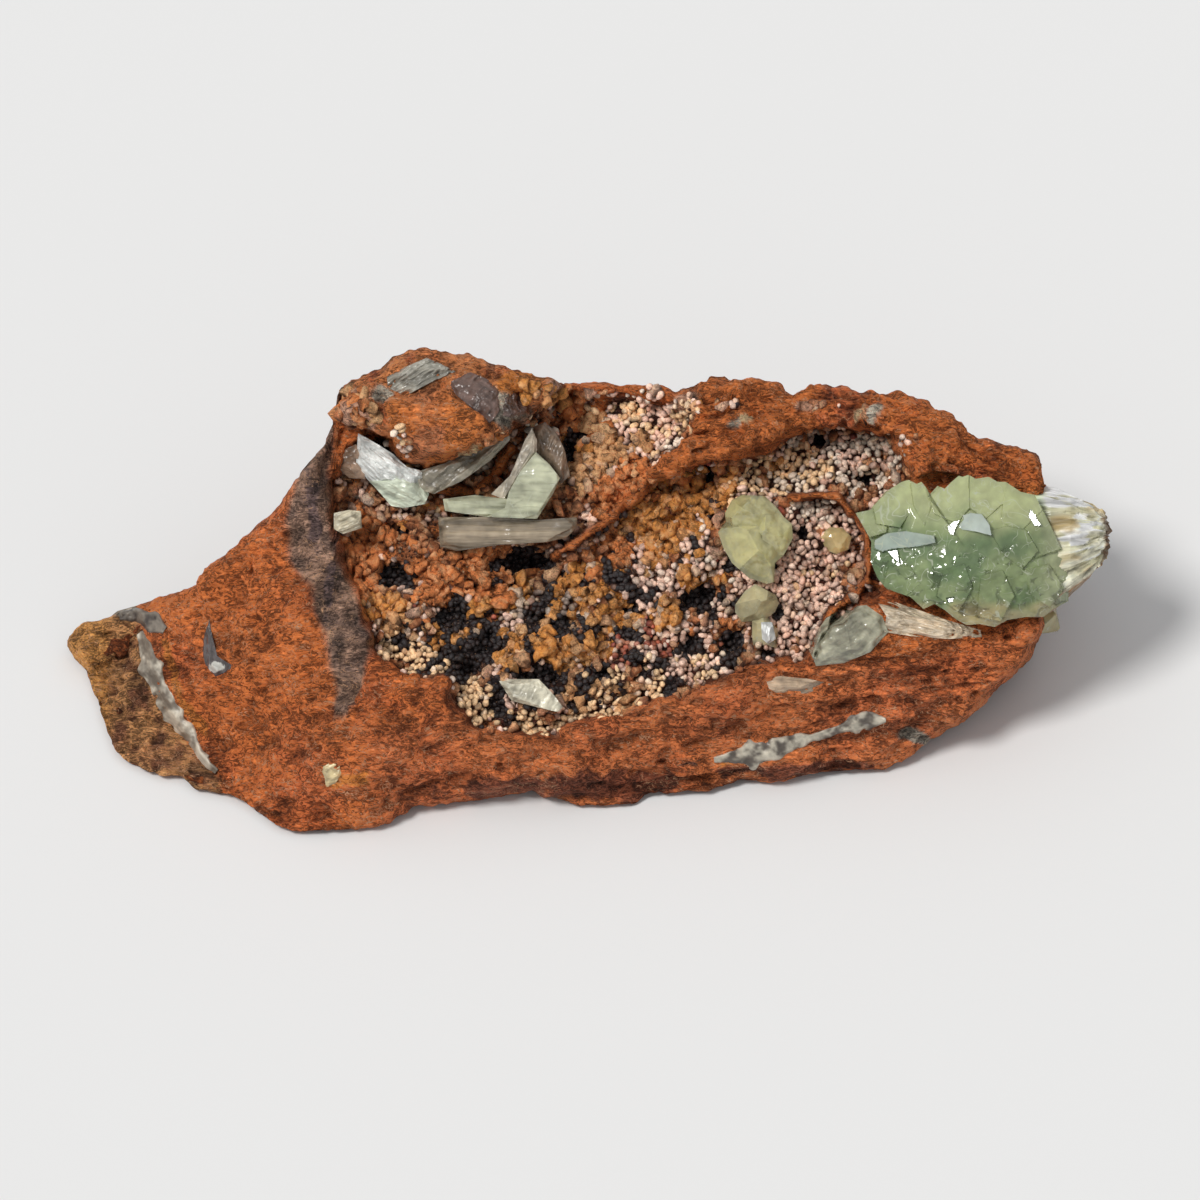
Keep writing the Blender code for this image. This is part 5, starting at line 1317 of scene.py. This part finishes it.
# Single stones: the outline of each lobe, the middle it closes on, the t of its seat, and its roof
stones = dict(
    adamiteCrystal=dict(
        node="adamite_crystal", slot="yellow_adamite", skin="yellow", heart=0.80, tint=paint(250, 244, 188), dents=0.16,
        lobes=[
            dict(outline=[(12.5, 8.7), (13.2, 10.0), (14.2, 10.5), (16.5, 10.4), (17.8, 9.1), (17.0, 7.2), (14.0, 6.4), (12.6, 7.8)],
                 middle=(15.0, 8.4), t=17.8, edge=1.6, crown=(7, 1.1), play=0.4, gem=(80, 3.9, 0.12),
                 tables=[(4.1, 0.30, -0.10), (4.0, -0.35, 0.20), (4.1, 0.05, 0.42)]),
            dict(outline=[(16.0, 9.0), (17.8, 9.1), (18.4, 8.3), (19.2, 7.6), (19.3, 6.2), (18.4, 4.5), (16.5, 4.4), (15.2, 6.6)],
                 middle=(17.2, 6.8), t=17.8, edge=1.5, crown=(7, 1.0), play=0.4, gem=(60, 3.9, 0.12),
                 tables=[(3.7, glintU, glintV), (3.9, -0.30, 0.15), (4.0, 0.1, -0.35)]),
            dict(outline=[(12.6, 7.8), (15.5, 8.2), (18.2, 6.8), (18.4, 4.5), (17.5, 3.7), (17.4, 1.8), (16.7, 1.6), (14.9, 2.2),
                          (13.2, 3.7), (12.3, 5.3), (11.8, 6.8)],
                 middle=(15.3, 5.2), t=17.8, edge=1.3, crown=(9, 0.9), play=0.4, gem=(80, 3.8, 0.12),
                 tables=[(4.0, 0.06, -0.22), (3.95, -0.28, 0.10), (4.0, 0.3, 0.25), (3.75, glintU, glintV)]),
        ],
    ),
    adamiteTwin=dict(
        node="adamite_twin", slot="yellow_adamite", skin="yellow", heart=0.78, tint=paint(244, 234, 190), dents=0.12,
        lobes=[
            dict(outline=[(15.5, 1.6), (17.6, 0.5), (17.9, -0.3), (17.5, -1.2), (16.5, -2.0), (14.2, -2.2), (13.5, -1.2), (13.5, -0.5),
                          (14.5, 0.9)],
                 middle=(15.8, -0.5), t=18.3, edge=0.9, crown=(8, 1.0), play=0.4, gem=(50, 2.9, 0.15),
                 tables=[(2.9, 0.2, 0.3), (2.8, -0.35, 0.1), (2.9, 0.1, -0.4)]),
            dict(outline=[(15.2, -1.8), (16.8, -1.8), (17.8, -3.0), (17.7, -4.9), (16.6, -4.4), (15.4, -5.0), (15.2, -3.6)],
                 middle=(16.4, -3.4), t=18.6, edge=0.5, crown=(6, 1.2), tables=[(1.2, 0.1, 0.2)]),
        ],
    ),
    brightPrism=dict(
        node="adamite_twin", slot="yellow_adamite", skin="silver", tint=paint(232, 234, 232), dents=0.04, fibre=(80, 3.0, 0.3, 0.06),
        lobes=[dict(outline=[(16.1, -2.2), (17.2, -2.2), (17.6, -3.9), (16.8, -4.4), (16.2, -3.9)],
                    middle=(16.8, -3.2), t=19.2, edge=1.2, crown=(5, 1.2), tables=[(1.7, glintU, glintV), (1.8, -0.5, 0.0)])],
    ),
    yellowChip=dict(
        node="adamite_chip", slot="yellow_adamite", skin="honey", heart=0.75, tint=paint(246, 222, 162), dents=0.10,
        lobes=[dict(outline=[(22.0, 6.5), (23.0, 7.3), (24.3, 7.2), (25.2, 6.3), (24.8, 5.0), (23.6, 4.6), (22.6, 5.0)],
                    middle=(23.6, 6.0), t=16.8, edge=0.5, crown=(7, 0.8), gem=(10, 1.2, 0.3), tables=[(1.2, 0.15, 0.1), (1.2, -0.2, -0.1)])],
    ),
    tabularFace=dict(
        node="tabular_crystal", slot="green_tabular", skin="celadon", tint=paint(218, 220, 190), dents=0.05,
        fibre=(-2, 5.0, 0.5, 0.13), heart=0.86,
        lobes=[
            dict(outline=[(-6.4, 14.8), (-5.0, 13.5), (-4.0, 12.2), (-4.7, 10.6), (-6.3, 8.1), (-11.4, 8.3), (-9.6, 8.9), (-9.1, 10.8),
                          (-8.0, 12.8)],
                 middle=(-6.6, 10.6), t=17.7, edge=3.4, crown=(9, 1.6), tables=[(4.0, 0.02, -0.10)], foot=0.9),
            dict(outline=[(-15.7, 10.1), (-12.6, 10.5), (-10.9, 10.3), (-8.2, 10.0), (-6.2, 8.9), (-6.3, 8.1), (-11.4, 8.3), (-13.4, 8.6),
                          (-15.5, 8.9)],
                 middle=(-11.4, 9.3), t=17.7, edge=2.9, crown=(8, 1.4), tables=[(3.6, 0.03, 0.12)], foot=0.9),
        ],
    ),
    tabularSide=dict(
        node="tabular_crystal", slot="green_tabular", skin="silk", tint=paint(196, 186, 168), dents=0.06, fibre=(68, 6.0, 0.4, 0.16),
        lobes=[dict(outline=[(-6.8, 17.2), (-6.3, 16.0), (-6.3, 14.9), (-7.9, 12.9), (-9.0, 10.9), (-9.5, 10.0), (-10.9, 10.6), (-9.6, 11.2),
                             (-8.7, 13.1), (-7.5, 16.0)],
                    middle=(-8.1, 13.3), t=17.7, edge=2.6, crown=(8, 1.2), tables=[(3.5, 0.55, -0.05)])],
    ),
    darkPlate=dict(
        node="tabular_crystal", slot="green_tabular", skin="smoke", tint=paint(142, 122, 104), dents=0.14, fibre=(65, 5.0, 0.5, 0.2),
        lobes=[dict(outline=[(-6.7, 17.3), (-5.5, 17.8), (-4.3, 16.7), (-3.5, 14.9), (-3.0, 12.4), (-4.0, 11.6), (-5.0, 13.5), (-6.3, 14.8)],
                    middle=(-4.7, 14.9), t=16.5, edge=1.8, crown=(7, 1.0), tables=[(2.6, -0.2, -0.1)])],
    ),
    barCrystal=dict(
        node="bar_crystal", slot="grey_crystal", skin="bar", tint=paint(150, 136, 116), dents=0.06, fibre=(1, 9.0, 0.5, 0.16),
        lobes=[dict(outline=[(-16.2, 8.3), (-11.0, 8.3), (-6.3, 8.0), (-2.3, 8.3), (-2.3, 7.2), (-3.4, 6.2), (-5.3, 5.8), (-10.1, 5.5),
                             (-14.4, 4.9), (-16.0, 5.3)],
                    middle=(-9.4, 6.8), t=17.6, edge=2.0, crown=(10, 1.1), tables=[(3.0, 0.0, -0.12), (3.1, 0.0, 0.25)], around=420)],
    ),
    whiteSilk=dict(
        node="white_cleavage", slot="white_cleavage", skin="silk", tint=paint(246, 248, 244), dents=0.26, fibre=(-38, 4.0, 0.4, 0.34),
        lobes=[dict(outline=[(-24.2, 16.7), (-22.1, 15.5), (-20.7, 14.6), (-19.3, 13.3), (-17.3, 12.8), (-18.0, 11.5), (-20.0, 11.2), (-21.5, 11.0),
                             (-23.2, 12.0), (-24.4, 13.6)],
                    middle=(-21.3, 13.2), t=17.5, edge=2.4, crown=(8, 0.9), tables=[(3.8, -0.1, 0.25), (3.7, 0.25, 0.0)])],
    ),
    whiteLower=dict(
        node="white_cleavage", slot="white_cleavage", skin="silk", heart=0.84, tint=paint(214, 222, 200), fibre=(-30, 4.0, 0.5, 0.2), dents=0.10,
        lobes=[dict(outline=[(-23.2, 12.0), (-21.4, 12.4), (-18.2, 12.2), (-17.1, 10.6), (-17.5, 9.6), (-19.6, 9.2), (-20.9, 9.4), (-21.9, 10.6)],
                    middle=(-19.9, 10.8), t=17.5, edge=2.2, crown=(7, 0.9), tables=[(3.5, 0.1, -0.15), (3.5, -0.2, 0.1)])],
    ),
    whiteLeft=dict(
        node="white_cleavage", slot="white_cleavage", skin="smoke", tint=paint(168, 140, 118), dents=0.26, fibre=(10, 2.0, 0.6, 0.16),
        lobes=[dict(outline=[(-26.4, 14.6), (-24.4, 15.6), (-23.6, 14.0), (-23.5, 12.1), (-25.1, 12.2), (-26.4, 13.4)],
                    middle=(-24.9, 13.8), t=17.9, edge=2.0, crown=(6, 0.8), tables=[(3.0, -0.1, 0.1)])],
    ),
    greyRidge=dict(
        node="white_cleavage", slot="white_cleavage", skin="smoke", tint=paint(168, 160, 142), dents=0.22, fibre=(38, 6.0, 0.6, 0.34),
        lobes=[dict(outline=[(-18.4, 12.8), (-15.5, 13.7), (-12.8, 15.2), (-10.3, 17.0), (-9.2, 17.2), (-9.0, 16.0), (-11.0, 13.9), (-13.8, 11.9),
                             (-16.6, 10.6), (-18.0, 11.0)],
                    middle=(-14.2, 13.1), t=17.9, edge=2.2, crown=(9, 0.9), tables=[(3.2, 0.05, 0.1)])],
    ),
    shortBlade=dict(
        node="short_blade", slot="white_cleavage", skin="silk", tint=paint(206, 196, 170), dents=0.08, fibre=(24, 5.0, 0.35, 0.22),
        lobes=[dict(outline=[(-26.6, 8.7), (-25.1, 9.0), (-23.9, 8.9), (-23.8, 7.2), (-25.7, 6.6), (-26.6, 7.1)],
                    middle=(-25.2, 7.9), t=21.0, edge=0.7, crown=(6, 0.9), tables=[(1.3, 0.1, 0.15)])],
    ),
    paleRhomb=dict(
        node="pale_rhomb", slot="white_cleavage", skin="silk", tint=paint(212, 206, 184), dents=0.10, fibre=(62, 1.5, 0.5, 0.12),
        lobes=[dict(outline=[(-10.1, -8.1), (-9.0, -7.9), (-6.1, -7.9), (-4.6, -9.5), (-3.7, -10.7), (-4.2, -11.2), (-8.8, -10.1)],
                    middle=(-6.9, -9.3), t=21.3, edge=0.7, crown=(7, 1.0), tables=[(1.4, 0.04, 0.12), (1.4, -0.18, 0.05)])],
    ),
    glassyCrystal=dict(
        node="glassy_crystal", slot="grey_crystal", skin="glassy", tint=paint(188, 186, 162), dents=0.16, fibre=(30, 2.5, 0.6, 0.16),
        lobes=[dict(outline=[(20.8, -4.8), (21.6, -3.2), (22.6, -1.8), (24.6, -0.7), (26.6, -0.5), (28.2, -1.6), (28.8, -3.2), (27.0, -5.2),
                             (24.4, -6.3), (21.6, -6.6)],
                    middle=(24.8, -3.6), edge=0.1, crown=(9, 0.5), tables=[(0.9, 0.1, 0.1), (0.9, -0.15, 0.05)])],
    ),
    splinter=dict(
        node="fibrous_splinter", slot="white_cleavage", skin="silk", tint=paint(232, 214, 188), dents=0.24, fibre=(-14, 5.0, 0.30, 0.42),
        lobes=[dict(outline=[(27.6, 0.0), (29.4, -0.2), (31.6, -0.9), (34.4, -1.9), (38.0, -3.0), (38.2, -3.7), (34.6, -3.9), (31.0, -3.6), (28.4, -3.2),
                             (28.6, -1.6)],
                    middle=(32.0, -2.1), edge=0.1, crown=(8, 0.5), tables=[(0.8, 0.0, 0.1)], around=260)],
    ),
    smokyCrystal=dict(
        node="smoky_crystal", slot="smoky_crystal", skin="smoke", tint=paint(112, 90, 82), dents=0.30, fibre=(50, 1.4, 0.5, 0.18),
        lobes=[dict(outline=[(-15.1, 21.7), (-13.0, 22.8), (-10.9, 21.9), (-10.1, 20.8), (-10.0, 18.9), (-11.0, 17.6), (-12.5, 18.9), (-14.4, 20.5)],
                    middle=(-12.2, 20.6), edge=0.1, crown=(7, 0.6), tables=[(0.8, 0.1, 0.1), (0.8, -0.2, 0.0)]),
               dict(outline=[(-10.0, 20.2), (-8.8, 20.8), (-7.5, 20.1), (-7.3, 18.9), (-8.2, 18.1), (-9.7, 18.4)],
                    middle=(-8.7, 19.4), edge=0.0, crown=(6, 0.6), tables=[(0.6, 0.0, 0.1)])],
    ),
    crownFibres=dict(
        node="crown_fibres", slot="grey_crystal", skin="silk", tint=paint(166, 162, 150), dents=0.26, fibre=(34, 4.0, 0.4, 0.36),
        lobes=[dict(outline=[(-21.3, 22.3), (-19.2, 23.4), (-17.3, 24.2), (-15.9, 23.6), (-14.4, 22.8), (-16.6, 21.9), (-19.4, 20.4), (-21.2, 21.2)],
                    middle=(-18.0, 22.3), edge=0.0, crown=(8, 0.5), tables=[(0.6, 0.0, 0.1)])],
    ),
    greyInclusion=dict(
        node="grey_inclusion", slot="smoky_crystal", skin="smoke", tint=paint(92, 86, 86),
        spots=[(paint(206, 204, 196), (-38.4, -6.7, 0.7, 0.5, 20))], dents=0.12, fibre=(80, 1.5, 0.4, 0.1),
        lobes=[dict(outline=[(-39.1, -2.0), (-38.9, -3.2), (-38.6, -4.4), (-38.3, -5.6), (-37.4, -6.2), (-36.6, -6.6), (-37.4, -7.2), (-38.5, -7.7),
                             (-39.5, -6.6), (-39.8, -5.2), (-39.7, -3.8)],
                    middle=(-39.0, -5.7), edge=0.1, crown=(8, 0.7), tables=[(0.65, 0, 0)], sink=1.2)],
    ),
    creamChip=dict(
        node="cream_chip", slot="cream_chip", skin="silk", tint=paint(224, 204, 156), dents=0.14, fibre=(20, 1.0, 0.4, 0.1),
        lobes=[dict(outline=[(-27.9, -16.8), (-26.9, -16.2), (-25.7, -16.5), (-25.9, -17.5), (-26.6, -18.6), (-27.4, -18.9), (-27.5, -17.8)],
                    middle=(-26.8, -17.3), edge=-0.1, crown=(7, 0.6), tables=[(0.35, 0, 0)], sink=1.2)],
    ),
    frontShard=dict(
        node="front_shard", slot="white_cleavage", skin="silk", tint=paint(182, 158, 132), dents=0.12, fibre=(-6, 3.0, 0.4, 0.14),
        lobes=[dict(outline=[(16.5, -7.8), (18.0, -7.6), (21.0, -7.9), (23.2, -8.4), (20.8, -9.3), (18.2, -9.6), (16.9, -8.9)],
                    middle=(19.2, -8.5), edge=-0.1, crown=(7, 0.5), tables=[(0.4, 0, 0)], sink=1.2)],
    ),
)

nub = dict(
    centre=(44.4, -1.5, 12.4), radii=(1.7, 1.9, 1.7), tint=paint(206, 198, 144),
)


def makeStones():
    skins = dict(
        yellow=clearMaterial("yellowAdamite", (0.90, 0.88, 0.58), 45.0, 0.08, 1.70, 0.6, (0.3, 0.4, 0.2), 0.10, 0.6),
        honey=clearMaterial("honeyAdamite", (0.92, 0.82, 0.52), 60.0, 0.14, 1.70, 0.5, (0.3, 0.4, 0.9), 0.3, 0.6),
        celadon=clearMaterial("celadonTabular", (0.88, 0.92, 0.78), 35.0, 0.12, 1.66, 0.4, (0, 0, 0), 0.35, 0.5),
        silver=silkyMaterial("silverPrism", (0, 0, 1.4), 2600.0, 0.2, 0.3, 0.18, 0.2, 0.4, 0.8),
        silk=silkyMaterial("silkyWhite", (0.3, 0.3, 0.6), 2400.0, 0.10, 0.35, 0.26, 0.08, 0.7, 0.7),
        smoke=silkyMaterial("smokyGrey", (0, 0, 0.6), 2200.0, 0.10, 0.5, 0.22, 0.12, 0.7, 0.7),
        bar=silkyMaterial("greyBar", (0, 0, 0.02), 2600.0, 0.05, 0.55, 0.2, 0.2, 0.8, 0.7),
        glassy=silkyMaterial("glassyGrey", (0, 0, 0.5), 1600.0, 0.3, 0.5, 0.16, 0.3, 0.6, 0.8),
    )
    heart = silkyMaterial("cloudyHeart", (0.3, 0.5, 0.2), 1500.0, 0.3, 0.3, 0.4, 0.0, 0.5)
    for seed, (name, s) in enumerate(stones.items()):
        sheets, tints, cores, coreTints = [], [], [], []
        for lobe in s["lobes"]:
            place, share, facet = lobePlace(lobe, seed)
            dent = s["dents"] * layeredNoise(place, 1.2, 3, seed)
            # facet carries the painted shading of the roof facets
            shade = facet * (1 + 0.25 * layeredNoise(place, 0.9, 3, seed + 2))
            if "fibre" in s:
                turn, length, width, depth = s["fibre"]
                line = fibreField(place, turn, length, width, seed)
                dent = dent + depth * line
                shade = shade + 0.35 * line
            place[..., 2] += dent * share
            sheets.append(fromView(place))
            tone = s["tint"] * shade[..., None]
            for spot, patch in s.get("spots", ()):
                tone = mix(tone, spot, patchMask(place[..., 0], place[..., 1], patch, dent / s["dents"]))
            tints.append(limit(tone))
            if s.get("heart"):
                inner, share, _ = lobePlace(lobe, seed, s["heart"])
                inner[..., 2] += 0.25 * layeredNoise(inner, 1.0, 3, 5) * share
                shade = 0.95 + 0.3 * layeredNoise(inner, 0.8, 2, 2) + 0.3 * crazing(inner, seed)
                cores.append(fromView(inner))
                coreTints.append(np.clip(s["tint"] * shade[..., None], 0, 1))
        piece = joinSheets(name, sheets, skins[s["skin"]], tints, 22)
        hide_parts(s["node"])
        if cores:
            core = joinSheets(name + "Heart", cores, heart, coreTints, 60)
    # the small crystal that stands out of the rock's right end, under the cluster
    turn = np.linspace(0, 2 * math.pi, 73)[None, :-1]
    fall = np.linspace(0.02, math.pi - 0.02, 40)[:, None]
    ball = np.stack([np.sin(fall) * np.cos(turn), np.sin(fall) * np.sin(turn), np.cos(fall) + 0 * turn], axis=-1)
    facets = 1 / np.max([np.abs(ball @ unit(*n)) for n in ((1, 0.2, 0.1), (0.2, 1, 0.3), (0.1, 0.2, 1), (1, 1, 0.6), (1, -1, 0.8), (0.8, 0.3, -1))], axis=0)
    place = np.array(nub["centre"]) + ball * np.array(nub["radii"]) * (0.82 * facets)[..., None]
    piece = joinSheets("yellowNub", [fromView(place)], skins["honey"], [nub["tint"] * (1 + 0.2 * layeredNoise(place, 0.8, 2))[..., None]], 18)
    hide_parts("adamite_nub")
    print("stones:", len(stones) + 1)


# Veins that run in the rock: path (u, v, half width), how far they stand out, and their colours
veins = dict(
    leftVein=dict(
        node="left_seam", slot="calcite",
        path=[(-46.2, -3.2, 0.5), (-45.6, -4.6, 1.0), (-44.9, -7.0, 1.3), (-44.2, -8.8, 1.0), (-43.6, -10.0, 1.35), (-42.4, -12.0, 1.1),
              (-41.0, -14.2, 1.0), (-39.8, -16.2, 0.8), (-38.4, -17.2, 0.3)],
        stand=0.2, colour=paint(214, 204, 186), dark=paint(126, 116, 104),
    ),
    frontVein=dict(
        node="front_seam", slot="calcite",
        path=[(11.4, -16.0, 0.4), (13.4, -15.7, 1.0), (15.4, -15.4, 1.5), (17.2, -15.0, 1.3), (19.4, -14.2, 0.9), (22.0, -13.6, 0.4),
              (24.0, -12.9, 0.6), (26.4, -12.0, 1.1), (28.6, -12.0, 0.3)],
        stand=0.2, colour=paint(204, 196, 178), dark=paint(96, 88, 80),
    ),
    lobeFibres=dict(
        node="lobe_fibres", slot="grey_crystal",
        path=[(-48.2, -1.6, 0.5), (-46.6, -1.6, 1.1), (-45.0, -2.2, 1.3), (-43.6, -3.0, 0.6)],
        stand=0.15, colour=paint(138, 128, 116), dark=paint(70, 62, 58),
    ),
)


def makeVeins():
    material = silkyMaterial("veinCalcite", (0, 0, 0.9), 2000.0, 0.4, 0.35, 0.45, 0.05, 0.7, 0.5)
    for name, s in veins.items():
        line = np.array(s["path"])
        reach = np.concatenate([[0], np.cumsum(np.hypot(*np.diff(line[:, :2], axis=0).T))])
        at = np.linspace(0, reach[-1], 130)
        u, v, half = [np.interp(at, reach, line[:, k]) for k in range(3)]
        du, dv = np.gradient(u), np.gradient(v)
        size = np.hypot(du, dv)
        side = np.linspace(-1, 1, 34)
        rough = valueNoise(flat(at, at * 0 + 3.0), 0.9, 3)
        wide = half * (1 + 0.3 * rough)
        topU = u[:, None] - (dv / size * wide)[:, None] * side
        topV = v[:, None] + (du / size * wide)[:, None] * side
        arch = (1 - np.abs(side[None, :]) ** 6)
        bumps = layeredNoise(flat(topU, topV, 2.0), 0.8, 3, 4)
        z = skinHeight(topU, topV)
        top = fromHeight(topU, topV, np.maximum(z + arch * (s["stand"] + 0.22 * bumps + 0.12) * sinLean - 0.35 * (1 - arch), 0.3))
        under = fromHeight(topU, topV, np.maximum(z - 1.1, 0.25))[:, ::-1]
        tone = mix(s["dark"], s["colour"], smooth(0.55 + 0.9 * bumps))
        rings = np.concatenate([top, under], axis=1)
        tint = np.concatenate([tone, tone[:, ::-1]], axis=1)
        piece = closedSheet(name, rings, material, tint=tint)
        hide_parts(s["node"])
    print("veins:", len(veins))


makeRock()
makeCluster()
makeBrokenEnd()
makeStones()
makeVeins()
makeDruse()

# ---- floor, light and camera

studio = dict(
    floor=paint(231, 231, 231), floorSize=6.0, keyStrength=2.05, keyAngle=16.0, fillLow=0.25, fillHigh=0.62, lens=1000.0, frameWidth=120.0,
    aimHeight=15.3,
)


def makeStudio():
    s = studio
    floorMesh = bpy.data.meshes.new("paleFloor")
    h = s["floorSize"] / 2
    floorMesh.from_pydata([(-h, -h, 0), (h, -h, 0), (h, h, 0), (-h, h, 0)], [], [(0, 1, 2, 3)])
    floor = bpy.data.objects.new("paleFloor", floorMesh)
    bpy.context.scene.collection.objects.link(floor)
    material, tree, shader, _ = newMaterial("paleFloorPaint")
    shader.inputs["Base Color"].default_value = (*s["floor"], 1)
    shader.inputs["Roughness"].default_value = 0.9
    shader.inputs["Specular IOR Level"].default_value = 0.1
    floorMesh.materials.append(material)
    light = bpy.data.lights.new("keySoftbox", "SUN")
    light.energy = s["keyStrength"]
    light.angle = math.radians(s["keyAngle"])
    light.color = (1.0, 0.985, 0.96)
    lamp = bpy.data.objects.new("keySoftbox", light)
    lamp.rotation_mode = "QUATERNION"
    lamp.rotation_quaternion = Vector(keyLight).to_track_quat("Z", "Y")
    lamp.location = Vector(keyLight) * 0.5
    bpy.context.scene.collection.objects.link(lamp)
    world = bpy.data.worlds.new("studioFill")
    world.use_nodes = True
    tree = world.node_tree
    tree.nodes["Background"].inputs["Color"].default_value = (0.97, 0.985, 1.0, 1)
    upwards = addNode(tree, "ShaderNodeSeparateXYZ", (-700, 0), {
        "Vector": addNode(tree, "ShaderNodeTexCoord", (-900, 0)).outputs["Generated"],
    }).outputs["Z"]
    tree.links.new(ramp(tree, upwards, 0.1, 1.0, (-400, 0), s["fillLow"], s["fillHigh"]),
                   tree.nodes["Background"].inputs["Strength"])
    bpy.context.scene.world = world
    bpy.context.scene.view_settings.view_transform = "Standard"
    camera = bpy.data.cameras.new("camera")
    camera.lens, camera.sensor_width = s["lens"], 36.0
    distance = s["frameWidth"] * mm * s["lens"] / 36.0
    aim = Vector(fromHeight(np.array(0.0), np.array(0.0), np.array(s["aimHeight"])) * mm)
    eye = bpy.data.objects.new("camera", camera)
    eye.location = aim + Vector(cameraDirection) * distance
    eye.rotation_mode = "QUATERNION"
    eye.rotation_quaternion = Vector(cameraDirection).to_track_quat("Z", "Y")
    camera.clip_start, camera.clip_end = 0.1, distance + 6
    bpy.context.scene.collection.objects.link(eye)
    bpy.context.scene.camera = eye
    print("studio ready")


makeStudio()
